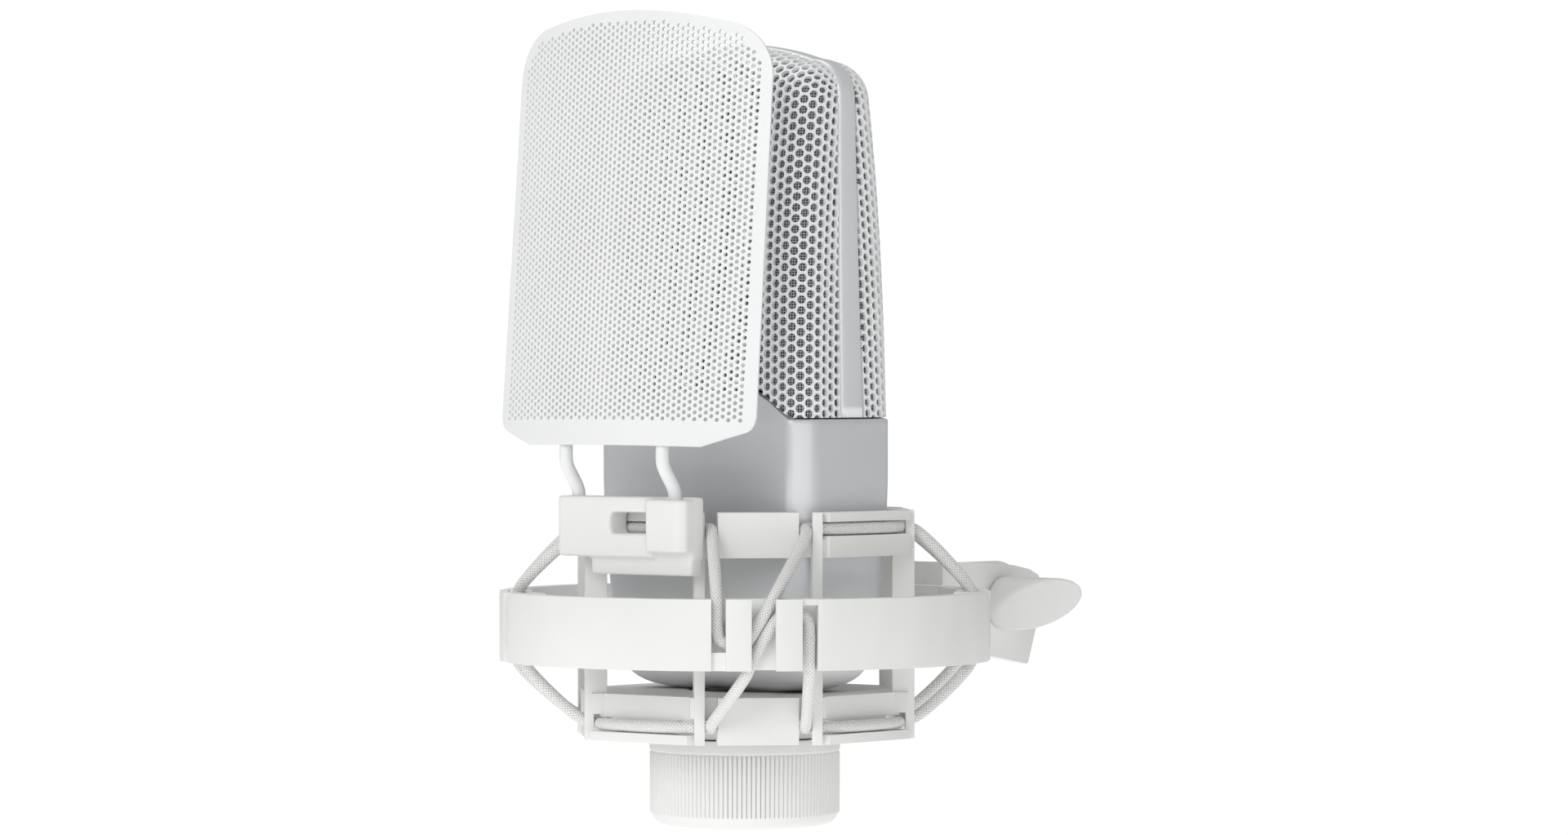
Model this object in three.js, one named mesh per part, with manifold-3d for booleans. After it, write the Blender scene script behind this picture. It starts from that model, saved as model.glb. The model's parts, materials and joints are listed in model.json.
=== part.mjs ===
// Side-address studio microphone in an elastic shock mount, with a curved pop filter and a stand swivel.
// Millimetres, +Z up, microphone front towards -Y. Heights are counted from the bottom of the ring nut
// and the group at the end moves the origin to the mouth of the stand thread.
import * as THREE from 'three';
import { mergeVertices } from 'three/addons/utils/BufferGeometryUtils.js';
import Module from 'manifold-3d';

const wasm = await Module();
wasm.setup();

// ---------------------------------------------------------------- driving dimensions
const GAP = 0.3;                 // play between neighbouring pieces

const BODY_HALF_X = 30.75;       // microphone body, full section
const BODY_HALF_Y = 16.7;
const BODY_CHAMFER = 4.4;
const BODY_TAPER = 3.2;          // how much each side has drawn in at the bottom
const BODY_BOTTOM = 30;
const BODY_TAPER_TOP = 76;
const BODY_TOP = 89.5;           // rim height at the sides
const ARCH_TOP = 95.6;           // raised rim at the front and rear
const ARCH_HALF = 17.7;
const BODY_WALL = 2.2;

const HEAD_TOP = 171.2;          // grille head
const HEAD_SHOULDER = 160.3;     // where the sides turn over into the top
const HEAD_DRAW_X = 1.55;        // how much the head draws in from the rim to the shoulder
const HEAD_DRAW_Y = 4.3;
const HEAD_CORNER = 6.4;         // corner radius seen from the front
const SHEET = 1.0;               // perforated sheet thickness
const BAND_HALF = [3.9, 2.6];    // half width of the side band, at the bottom and at the top
const CAPSULE_Z = 133;
const CAPSULE_RADIUS = 17;
const DIAPHRAGM_RADIUS = 13.6;
const PIN_RADIUS = 1.2;          // connector pins
const PIN_CIRCLE = 4.7;          // how far the pins stand from the axis

const NUT_RADIUS = 21;
const NUT_TOP = 19.5;
const THREAD_RADIUS = 12.2;      // tail sleeve outside
const SOCKET_RADIUS = 9.7;       // connector socket inside the sleeve

const CAGE_APOTHEM = 35.7;       // octagonal cradle, outside of its flat faces
const CAGE_INNER = 31;
const CAGE_WALL = 1.8;
const CAGE_TOP = 69.5;
const CAGE_RING = 9.8;           // height of the upper ring
const FLOOR_RING = [19.5, 29.7]; // lower ring and floor
const FLANGE = 2.1;
const GROOVE = 3;                // slot for the elastic cord
const PANEL_HALF = 8.75;         // centre panel at a hook station
const BAR_AT = 12.7;             // upright bars beside each panel, deep between the rings
const BAR_WIDTH = 2.2;
const BAR_INNER = 31.2;
const BAR_BRIDGE = 34.1;         // inside of a bar where the cord passes behind it
const BAR_OUTER = 36.1;
const CORD_RADIUS = 1.25;

const RING_LOW = 36.3;           // outer ring
const RING_HIGH = 51.5;
const RING_RADIUS = 54.1;
const RING_INNER = 50;
const HOOK_WALL = [46.9, 48.4];  // recessed wall at a hook station
const TAB_INNER = 52.1;
const BRIDGE = [51, 52.9];       // recessed bridge between a tab and the ring

const PIVOT = [74, 46.8];        // swivel axis along X: y and z
const YOKE_HALF = 14;
const YOKE_EAR = 4;
const BOLT_RADIUS = 3;
const BOLT_END = 18.5;
const KNOB_RADIUS = 6.1;
const ADAPTER_RADIUS = 9;
const ADAPTER_MOUTH = 91;        // y of the thread mouth

const SCREEN_RADIUS = 96;        // pop filter sheet
const SCREEN_SHEET = 0.8;
const SCREEN_FRONT = 47;         // distance in front of the axis at its lower edge
const SCREEN_LOW = 84.1;
const SCREEN_HIGH = 178.1;
const SCREEN_LEAN = THREE.MathUtils.degToRad(4.8);
const ROD_RADIUS = 1.45;
const ROD_X = 13.8;
const CLIP_FRONT = 42.2;         // front face of the clip that holds the rods
const CLIP_LOW = 59.8;
const CLIP_RIGHT = 19.3;         // right edge of its plate, clear of the upper cord

const FINE = 48;                 // facets round a large circle
const COARSE = 24;

// ---------------------------------------------------------------- finishes
const finish = (color, roughness, metalness = 0) => new THREE.MeshStandardMaterial({ color, roughness, metalness });
const paint = () => finish('#c9cdd2', 0.45, 0.1);
const plastic = () => finish('#eeeeec', 0.5);
const whiteMetal = () => finish('#ececec', 0.45, 0.1);
const elastic = () => finish('#e6e6e4', 0.9);
const steel = () => finish('#b9bcc0', 0.35, 1);
const brass = () => finish('#c8a45a', 0.35, 1);
const blackPlastic = () => finish('#202224', 0.5);
const board = () => finish('#1d5a38', 0.5);
const gold = () => finish('#d9b765', 0.3, 1);

// ---------------------------------------------------------------- solids
function solid(geometry) {
  const bare = geometry.index ? geometry : geometry.clone();
  bare.deleteAttribute('normal');
  bare.deleteAttribute('uv');
  const merged = mergeVertices(bare, 1e-4);
  return new wasm.Manifold(new wasm.Mesh({
    numProp: 3,
    vertProperties: new Float32Array(merged.attributes.position.array),
    triVerts: new Uint32Array(merged.index.array),
  }));
}

function piece(name, shape, material) {
  const mesh = shape.getMesh();
  const geometry = new THREE.BufferGeometry();
  geometry.setAttribute('position', new THREE.BufferAttribute(new Float32Array(mesh.vertProperties), 3));
  geometry.setIndex(new THREE.BufferAttribute(new Uint32Array(mesh.triVerts), 1));
  geometry.computeVertexNormals();
  const part = new THREE.Mesh(geometry, material);
  part.name = name;
  return part;
}

const union = (shapes) => shapes.reduce((sum, shape) => sum.add(shape));

function box([x0, x1], [y0, y1], [z0, z1]) {
  const geometry = new THREE.BoxGeometry(x1 - x0, y1 - y0, z1 - z0);
  geometry.translate((x0 + x1) / 2, (y0 + y1) / 2, (z0 + z1) / 2);
  return solid(geometry);
}

function outline(points) {
  return new THREE.Shape(points.map(([x, y]) => new THREE.Vector2(x, y)));
}

function prism(shape, z0, z1) {
  const geometry = new THREE.ExtrudeGeometry(shape, { depth: z1 - z0, bevelEnabled: false, curveSegments: 12 });
  geometry.translate(0, 0, z0);
  return solid(geometry);
}

// An outline in (x, z) extruded along Y.
function frontPrism(shape, y0, y1) {
  const geometry = new THREE.ExtrudeGeometry(shape, { depth: y1 - y0, bevelEnabled: false, curveSegments: 12 });
  geometry.rotateX(Math.PI / 2);
  geometry.translate(0, y1, 0);
  return solid(geometry);
}

// An outline in (y, z) extruded along X.
function sidePrism(shape, x0, x1) {
  const geometry = new THREE.ExtrudeGeometry(shape, { depth: x1 - x0, bevelEnabled: false, curveSegments: 12 });
  geometry.rotateX(Math.PI / 2);
  geometry.rotateZ(Math.PI / 2);
  geometry.translate(x0, 0, 0);
  return solid(geometry);
}

// A (radius, height) profile turned round Z.
function turned(profile, segments = FINE) {
  const geometry = new THREE.LatheGeometry(profile.map(([r, h]) => new THREE.Vector2(r, h)), segments);
  geometry.rotateX(Math.PI / 2);
  return solid(geometry);
}

const disc = (radius, z0, z1, segments = FINE) => turned([[0, z0], [radius, z0], [radius, z1], [0, z1]], segments);

function tubeRing(inner, outer, z0, z1, segments = FINE) {
  return turned([[inner, z0], [outer, z0], [outer, z1], [inner, z1], [inner, z0]], segments);
}

const alongX = (shape, y, z) => shape.rotate([0, 90, 0]).translate([0, y, z]);
const alongY = (shape, x, z) => shape.rotate([-90, 0, 0]).translate([x, 0, z]);

// A stack of closed rings of points, joined by walls. The two end rings are closed by strips that join
// each point to the one opposite, so an end may be curved along the ring's axis of symmetry.
function loft(rings) {
  const count = rings[0].length;
  const index = [];
  for (let row = 0; row < rings.length - 1; row++) {
    for (let i = 0; i < count; i++) {
      const a = row * count + i;
      const b = row * count + (i + 1) % count;
      index.push(a, b, b + count, a, b + count, a + count);
    }
  }
  for (const [row, up] of [[0, false], [rings.length - 1, true]]) {
    const first = row * count;
    for (let i = 0; i < (count - 1) / 2; i++) {
      const [a, b, c, d] = [i, i + 1, count - 2 - i, count - 1 - i].map((v) => first + v);
      const faces = b < c ? [[a, b, c], [a, c, d]] : [[a, b, d]];
      for (const [p, q, r] of faces) index.push(...(up ? [p, q, r] : [p, r, q]));
    }
  }
  const geometry = new THREE.BufferGeometry();
  geometry.setAttribute('position', new THREE.Float32BufferAttribute(rings.flat(2), 3));
  geometry.setIndex(index);
  return solid(geometry);
}

// ---------------------------------------------------------------- microphone
// A rectangle with cut corners, walked anticlockwise, with extra points on its long sides.
function sectionRing(halfX, halfY, chamfer, z) {
  const corner = Math.min(chamfer, halfX * 0.5, halfY * 0.5);
  const inX = halfX - corner;
  const inY = halfY - corner;
  const quarter = [[halfX, inY], [inX, halfY], [inX / 3, halfY]];
  const half = [...quarter, ...quarter.map(([x, y]) => [-x, y]).reverse()];
  return [...half, ...half.map(([x, y]) => [x, -y]).reverse()].map(([x, y]) => [x, y, z]);
}

// The body with its rounded lower edge, drawn in by an inset for the hollow inside.
function bodySolid(inset, floor) {
  const bowl = 6.5;
  const bowlWidth = 9;
  const bowlSteps = 5;
  const rings = [];
  for (let step = 0; step <= bowlSteps; step++) {
    const turn = (step / bowlSteps) * Math.PI / 2;
    const draw = BODY_TAPER + inset + bowlWidth * (1 - Math.sin(turn));
    const z = floor + bowl * (1 - Math.cos(turn));
    rings.push(sectionRing(BODY_HALF_X - draw, BODY_HALF_Y - Math.min(draw, BODY_HALF_Y - 6), BODY_CHAMFER, z));
  }
  for (const [z, share] of [[55, 0.45], [68, 0.1], [BODY_TAPER_TOP, 0], [ARCH_TOP + 1, 0]]) {
    const draw = BODY_TAPER * share + inset;
    rings.push(sectionRing(BODY_HALF_X - draw, BODY_HALF_Y - draw, BODY_CHAMFER - inset * 0.4, z));
  }
  return loft(rings);
}

// Everything above the body's rim: level at the sides, raised in the middle of the front and rear.
function aboveRim(offset) {
  const far = 60;
  const foot = BODY_HALF_X - BODY_CHAMFER;
  return frontPrism(outline([
    [-far, BODY_TOP + offset], [-foot, BODY_TOP + offset], [-ARCH_HALF, ARCH_TOP + offset],
    [ARCH_HALF, ARCH_TOP + offset], [foot, BODY_TOP + offset], [far, BODY_TOP + offset], [far, 200], [-far, 200],
  ]), -far, far);
}

// How far up the grille head a height lies, from 0 at the rim to 1 at the shoulder.
const climb = (z) => Math.max(0, (z - BODY_TOP) / (HEAD_SHOULDER - BODY_TOP));
const headHalfX = (z) => BODY_HALF_X - HEAD_DRAW_X * Math.pow(climb(z), 0.8);
const headHalfY = (z) => BODY_HALF_Y - HEAD_DRAW_Y * Math.pow(climb(z), 2.4);

// The head seen from the front, from its lower left corner over the top, drawn in by an inset.
function headOutline(inset) {
  const centreX = headHalfX(HEAD_SHOULDER) - HEAD_CORNER;
  const arcEnd = 1.25;
  const arcSteps = 6;
  const foot = BODY_TOP - 2.5;
  const right = [];
  for (const z of [foot, 100, 112, 125, 138, 150]) right.push([headHalfX(z) - inset, z]);
  for (let step = 0; step <= arcSteps; step++) {
    const angle = arcEnd * step / arcSteps;
    const radius = HEAD_CORNER - inset;
    right.push([centreX + radius * Math.cos(angle), HEAD_SHOULDER + radius * Math.sin(angle)]);
  }
  const [edgeX, edgeZ] = right.at(-1);
  const peak = HEAD_TOP - inset;
  for (const share of [0.8, 0.6, 0.4, 0.2]) {
    right.push([edgeX * share, peak - (peak - edgeZ) * share ** 2]);
  }
  return [...right.map(([x, z]) => [-x, z]), [0, peak], ...right.reverse()];
}

// The head is bevelled all round its front and rear faces.
function headSolid(inset) {
  const wall = headOutline(inset);
  const face = headOutline(inset + BODY_CHAMFER);
  const ring = (points, way, back) => points.map(([x, z]) => [x, way * (headHalfY(z) - inset - back), z]);
  return loft([ring(face, -1, 0), ring(wall, -1, BODY_CHAMFER), ring(wall, 1, BODY_CHAMFER), ring(face, 1, 0)]);
}

// The slab that the side band fills, narrowing towards the top.
function bandSlab(extra) {
  const [low, high] = BAND_HALF;
  return sidePrism(outline([
    [-low - extra, 80], [low + extra, 80], [high + extra, 180], [-high - extra, 180],
  ]), -60, 60);
}

function microphone() {
  const group = new THREE.Group();
  const spigot = disc(SOCKET_RADIUS - GAP, BODY_BOTTOM - 2.6, BODY_BOTTOM + 2);
  const shell = bodySolid(0, BODY_BOTTOM).add(spigot).subtract(bodySolid(BODY_WALL, BODY_BOTTOM + BODY_WALL))
    .subtract(aboveRim(0)).subtract(disc(5, 20, 40));
  group.add(piece('mic_body', shell, paint()));

  const rim = aboveRim(GAP);
  const head = headSolid(0);
  const sheet = head.subtract(headSolid(SHEET)).intersect(rim).subtract(bandSlab(GAP));
  const cloth = headSolid(SHEET + 0.3).subtract(headSolid(SHEET + 0.8)).intersect(rim).subtract(bandSlab(GAP));
  const front = box([-60, 60], [-60, -1], [60, 200]);
  const rear = box([-60, 60], [1, 60], [60, 200]);
  group.add(piece('front_grille', sheet.intersect(front), paint()));
  group.add(piece('rear_grille', sheet.intersect(rear), paint()));
  group.add(piece('front_wire_mesh', cloth.intersect(front), steel()));
  group.add(piece('rear_wire_mesh', cloth.intersect(rear), steel()));

  const band = headSolid(-0.3).subtract(headSolid(2.4)).intersect(rim).intersect(bandSlab(0));
  group.add(piece('grille_band', band, paint()));

  const deckTop = BODY_TOP - 1;
  const deckHalf = [BODY_HALF_X - BODY_WALL - GAP, BODY_HALF_Y - BODY_WALL - GAP];
  group.add(piece('capsule_platform',
    loft([deckTop - 3, deckTop].map((z) => sectionRing(...deckHalf, BODY_CHAMFER, z))), blackPlastic()));
  const saddleTop = CAPSULE_Z - CAPSULE_RADIUS + 3;
  const cradleCut = alongY(disc(CAPSULE_RADIUS + GAP, -20, 20), 0, CAPSULE_Z);
  group.add(piece('capsule_saddle',
    box([-8, 8], [-6, 6], [deckTop + GAP, saddleTop]).subtract(cradleCut), blackPlastic()));
  const about = (shape) => alongY(shape, 0, CAPSULE_Z);
  group.add(piece('capsule_ring', about(tubeRing(DIAPHRAGM_RADIUS + 0.4, CAPSULE_RADIUS, -5, 5)), brass()));
  group.add(piece('capsule_backplate', about(disc(DIAPHRAGM_RADIUS, -3.4, 3.4)), brass()));
  group.add(piece('front_diaphragm', about(disc(DIAPHRAGM_RADIUS, 3.8, 4.1)), gold()));
  group.add(piece('rear_diaphragm', about(disc(DIAPHRAGM_RADIUS, -4.1, -3.8)), gold()));

  const railX = 24;
  const chassis = union([
    box([-railX, railX], [-8, 8], [38, 40]),
    box([-railX, -railX + 2], [-8, 8], [39, 84]),
    box([railX - 2, railX], [-8, 8], [39, 84]),
    box([-railX, railX], [-8, 8], [82, 84]),
  ]);
  const screwRows = [47, 77];
  const boardSolid = box([-20, 20], [-5, -3.4], [41, 81]);
  const screwHole = (z) => alongY(disc(1.6, -20, 20, 12), 0, z);
  group.add(piece('inner_chassis', chassis.add(box([-railX, railX], [-2.9, -1.4], [44, 80]))
    .subtract(union(screwRows.map(screwHole))), steel()));
  group.add(piece('circuit_board', boardSolid.subtract(union(screwRows.map(screwHole))), board()));
  screwRows.forEach((z, i) => {
    const screw = disc(1.4, -1.6, 5.2, 12).add(disc(2.6, 5.2, 6.6, 12));
    group.add(piece(`board_screw_${i + 1}`, alongY(screw, 0, z), steel()));
  });

  group.add(piece('tail_sleeve', tubeRing(SOCKET_RADIUS, THREAD_RADIUS, 3, BODY_BOTTOM - 0.5), steel()));
  const pinAngles = [90, 210, 330].map(THREE.MathUtils.degToRad);
  const pinAt = (shape, angle) => shape.translate([PIN_CIRCLE * Math.cos(angle), PIN_CIRCLE * Math.sin(angle), 0]);
  const insertHoles = union(pinAngles.map((angle) => pinAt(disc(PIN_RADIUS + GAP, 10, 40, 16), angle)));
  group.add(piece('connector_insert', disc(SOCKET_RADIUS - 0.1, 20, 26.5).subtract(insertHoles), blackPlastic()));
  pinAngles.forEach((angle, i) => {
    group.add(piece(`connector_pin_${i + 1}`, pinAt(disc(PIN_RADIUS, 6, 27.2, 16), angle), gold()));
  });
  return group;
}

function ringNut() {
  const bore = THREAD_RADIUS + GAP;
  return piece('ring_nut', turned([
    [bore, 0], [17, 0], [19.2, 0.7], [20.6, 2.5], [NUT_RADIUS, 3.2], [NUT_RADIUS, 19.2 - GAP],
    [NUT_RADIUS - 0.3, NUT_TOP - GAP], [bore, NUT_TOP - GAP], [bore, 0],
  ], 56), plastic());
}

// ---------------------------------------------------------------- cradle
// Directions count eighths of a turn from the right (+X): even ones are plain faces, odd ones hook stations.
const faceTurn = (eighth) => eighth * 45;
const onFace = (shape, eighth) => shape.rotate([0, 0, faceTurn(eighth)]);
const FACE_HALF = CAGE_APOTHEM * Math.tan(Math.PI / 8);

function octagon(apothem, z0, z1) {
  const radius = apothem / Math.cos(Math.PI / 8);
  const corners = Array.from({ length: 8 }, (_, i) => {
    const angle = (i + 0.5) * Math.PI / 4;
    return [radius * Math.cos(angle), radius * Math.sin(angle)];
  });
  return prism(outline(corners), z0, z1);
}

function cradle() {
  const [floorLow, floorHigh] = FLOOR_RING;
  const ringLow = CAGE_TOP - CAGE_RING;
  const wallOuter = CAGE_INNER + CAGE_WALL;
  const grooveUpper = [CAGE_TOP - FLANGE - GROOVE, CAGE_TOP - FLANGE];
  const grooveLower = [floorLow + FLANGE, floorLow + FLANGE + GROOVE];
  const band = (z0, z1) => octagon(wallOuter, z0, z1).subtract(octagon(CAGE_INNER, z0 - 1, z1 + 1));
  const flangeHalf = FACE_HALF - 0.9;
  const grooveWallHalf = 8.8;
  const parts = [
    band(ringLow, grooveUpper[0]),
    band(grooveLower[1], floorHigh),
    octagon(wallOuter, floorHigh - 2.2, floorHigh).subtract(disc(THREAD_RADIUS + GAP, 20, 40)),
    tubeRing(THREAD_RADIUS + GAP, 18, floorLow, floorHigh),
  ];
  for (let eighth = 0; eighth < 8; eighth += 2) {
    const reach = [wallOuter - 0.9, CAGE_APOTHEM];
    const side = [-flangeHalf, flangeHalf];
    const face = [
      box(reach, side, [ringLow, grooveUpper[0]]),
      box([CAGE_INNER, CAGE_APOTHEM], side, [grooveUpper[1], CAGE_TOP]),
      box([CAGE_INNER, wallOuter], [-grooveWallHalf, grooveWallHalf], [grooveUpper[0] - 0.5, CAGE_TOP]),
      box([CAGE_INNER, CAGE_APOTHEM], side, [floorLow, grooveLower[0]]),
      box([CAGE_INNER, wallOuter], [-grooveWallHalf, grooveWallHalf], [floorLow, grooveLower[1] + 0.5]),
    ];
    parts.push(...face.map((shape) => onFace(shape, eighth)));
  }
  for (let eighth = 1; eighth < 8; eighth += 2) {
    const panel = [-PANEL_HALF, PANEL_HALF];
    const station = [
      box([CAGE_INNER, CAGE_APOTHEM], panel, [ringLow, CAGE_TOP]),
      box([CAGE_INNER, CAGE_APOTHEM], panel, [floorLow, floorHigh]),
    ];
    for (const way of [-1, 1]) {
      const bar = [BAR_AT - BAR_WIDTH / 2, BAR_AT + BAR_WIDTH / 2].map((v) => v * way).sort((a, b) => a - b);
      const web = [BAR_AT - BAR_WIDTH / 2, BAR_AT + BAR_WIDTH / 2 + 0.8].map((v) => v * way).sort((a, b) => a - b);
      station.push(box([BAR_BRIDGE, BAR_OUTER], bar, [floorLow, CAGE_TOP]));
      station.push(box([BAR_INNER, BAR_BRIDGE + 0.5], bar, [grooveLower[1] + 0.6, grooveUpper[0] - 0.6]));
      station.push(box([wallOuter - 1, BAR_BRIDGE + 0.5], web, [ringLow, grooveUpper[0] - 0.6]));
      station.push(box([wallOuter - 1, BAR_BRIDGE + 0.5], web, [grooveLower[1] + 0.6, floorHigh]));
    }
    parts.push(...station.map((shape) => onFace(shape, eighth)));
  }
  return piece('cradle', union(parts), plastic());
}

// ---------------------------------------------------------------- outer ring
// Station shapes are drawn with x outwards and y sideways (to the right as seen from outside),
// then turned to their diagonal.
function arcBlock(r0, r1, side, z0, z1) {
  const slab = box([30, 70], side, [z0, z1]);
  return tubeRing(r0, r1, z0, z1, 80).intersect(slab);
}

const SLOT_LEFT = [-11.5, -8.4];
const TAB_LEFT = [-8.4, -3];
const TAB_RIGHT = [2.2, 7.9];
const SLOT_RIGHT = [7.9, 11.3];
const STEM_LEFT = { side: [-8.2, -4.9], z: [43.5, 46.6] };
const STEM_RIGHT = { side: [4.8, 7.7], z: [43.3, 46.5] };
const SLOT_FLOOR = 40.2;
const SLOT_ROOF = 50.2;

function outerRing() {
  let ring = tubeRing(RING_INNER, RING_RADIUS, RING_LOW, RING_HIGH, 80);
  for (let eighth = 1; eighth < 8; eighth += 2) {
    const full = [RING_LOW, RING_HIGH];
    const window = box([44, 60], [SLOT_LEFT[0], SLOT_RIGHT[1]], [RING_LOW - 1, RING_HIGH + 1]);
    const station = [
      arcBlock(HOOK_WALL[0], HOOK_WALL[1], [-14.5, 14.5], ...full),
      arcBlock(HOOK_WALL[0], RING_INNER + 1, [-14.5, SLOT_LEFT[0]], ...full),
      arcBlock(HOOK_WALL[0], RING_INNER + 1, [SLOT_RIGHT[1], 14.5], ...full),
      arcBlock(TAB_INNER, RING_RADIUS, TAB_LEFT, ...full),
      arcBlock(TAB_INNER, RING_RADIUS, TAB_RIGHT, ...full),
      arcBlock(...BRIDGE, [SLOT_LEFT[0] - 1, SLOT_LEFT[1] + 1], RING_LOW, SLOT_FLOOR),
      arcBlock(...BRIDGE, [SLOT_RIGHT[0] - 1, SLOT_RIGHT[1] + 1], SLOT_ROOF, RING_HIGH),
      arcBlock(HOOK_WALL[1] - 0.5, TAB_INNER + 0.5, STEM_LEFT.side, ...STEM_LEFT.z),
      arcBlock(HOOK_WALL[1] - 0.5, TAB_INNER + 0.5, STEM_RIGHT.side, ...STEM_RIGHT.z),
    ];
    ring = ring.subtract(onFace(window, eighth)).add(union(station.map((shape) => onFace(shape, eighth))));
  }
  const screws = union(YOKE_SCREWS.map((x) => alongY(disc(1.7, 40, 60, 16), x, YOKE_SCREW_Z)));
  return piece('outer_ring', ring.subtract(screws), plastic());
}

// ---------------------------------------------------------------- elastic cords
// One station of a cord, as [sideways seen from outside, distance from the axis, height].
const UPPER_ROUTE = [
  [-13.9, 32.7, 65.9], [-12.7, 32.4, 65.9], [-11, 32.5, 65.9], [-10.2, 33.6, 65.9], [-10.17, 36.8, 64.9],
  [-10.1, 48.4, 52.8], [-10.0, 49.2, 50.9], [-10.0, 49.25, 44.6], [-9.5, 49.4, 42.9], [-8.2, 49.6, 42.0],
  [-6, 49.9, 41.9], [-3.9, 50.1, 42.2], [-2.9, 50.2, 43.4], [1.2, 50.2, 50.4], [2.6, 49.4, 52.8],
  [10.17, 36.8, 64.9], [10.2, 33.6, 65.9], [11, 32.5, 65.9], [12.7, 32.4, 65.9], [13.9, 32.7, 65.9],
];
const LOWER_ROUTE = [
  [-13.9, 32.7, 23.1], [-12.7, 32.4, 23.1], [-11, 32.5, 23.1], [-10.2, 33.6, 23.1], [-10.17, 36.8, 24.1],
  [-3.9, 49.4, 35.1], [-3.0, 50.1, 37.3], [2.4, 50.2, 46.8], [3.6, 50.1, 47.8], [5.6, 49.9, 48.1],
  [7.9, 49.6, 48.0], [9.2, 49.4, 47.0], [9.6, 49.3, 45.2], [9.6, 49.2, 37.1], [9.7, 48.4, 35.1],
  [10.17, 36.8, 24.1], [10.2, 33.6, 23.1], [11, 32.5, 23.1], [12.7, 32.4, 23.1], [13.9, 32.7, 23.1],
];

class Route extends THREE.Curve {
  constructor(points) {
    super();
    this.points = points;
  }

  getPoint(t, target = new THREE.Vector3()) {
    const last = this.points.length - 1;
    return target.copy(this.points[Math.round(t * last)]);
  }

  getPointAt(t, target) {
    return this.getPoint(t, target);
  }

  getTangentAt(t, target = new THREE.Vector3()) {
    const last = this.points.length - 1;
    const at = Math.round(t * last);
    const before = this.points[Math.max(0, at - 1)];
    const after = this.points[Math.min(last, at + 1)];
    return target.copy(after).sub(before).normalize();
  }
}

function tubeAlong(points, radius, sides) {
  const section = outline(Array.from({ length: sides }, (_, i) => {
    const angle = (i + 0.5) * 2 * Math.PI / sides;
    return [radius * Math.cos(angle), radius * Math.sin(angle)];
  }));
  const geometry = new THREE.ExtrudeGeometry(section, {
    steps: points.length - 1, bevelEnabled: false, extrudePath: new Route(points),
  });
  return solid(geometry);
}

function cord(name, route) {
  const grooveRadius = CAGE_INNER + CAGE_WALL + CORD_RADIUS + 0.2;
  const height = route[0][2];
  const points = [];
  const onGroove = (angle, sideways) => new THREE.Vector3(
    grooveRadius * Math.cos(angle) - sideways * Math.sin(angle),
    grooveRadius * Math.sin(angle) + sideways * Math.cos(angle), height);
  const back = Math.PI / 2;
  points.push(onGroove(back, 0.2));
  points.push(onGroove(back, 9));
  for (let turn = 0; turn < 4; turn++) {
    const angle = back + Math.PI / 4 + turn * Math.PI / 2;
    for (const [sideways, distance, z] of route) {
      points.push(new THREE.Vector3(
        distance * Math.cos(angle) - sideways * Math.sin(angle),
        distance * Math.sin(angle) + sideways * Math.cos(angle), z));
    }
    const next = back + (turn + 1) * Math.PI / 2;
    if (turn < 3) points.push(onGroove(next, -9), onGroove(next, 9));
    else points.push(onGroove(next, -9), onGroove(next, -0.2));
  }
  return piece(name, tubeAlong(points, CORD_RADIUS, 8), elastic());
}

// ---------------------------------------------------------------- swivel and stand adapter
const YOKE_SCREWS = [-7, 7];
const YOKE_SCREW_Z = 44;

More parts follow.
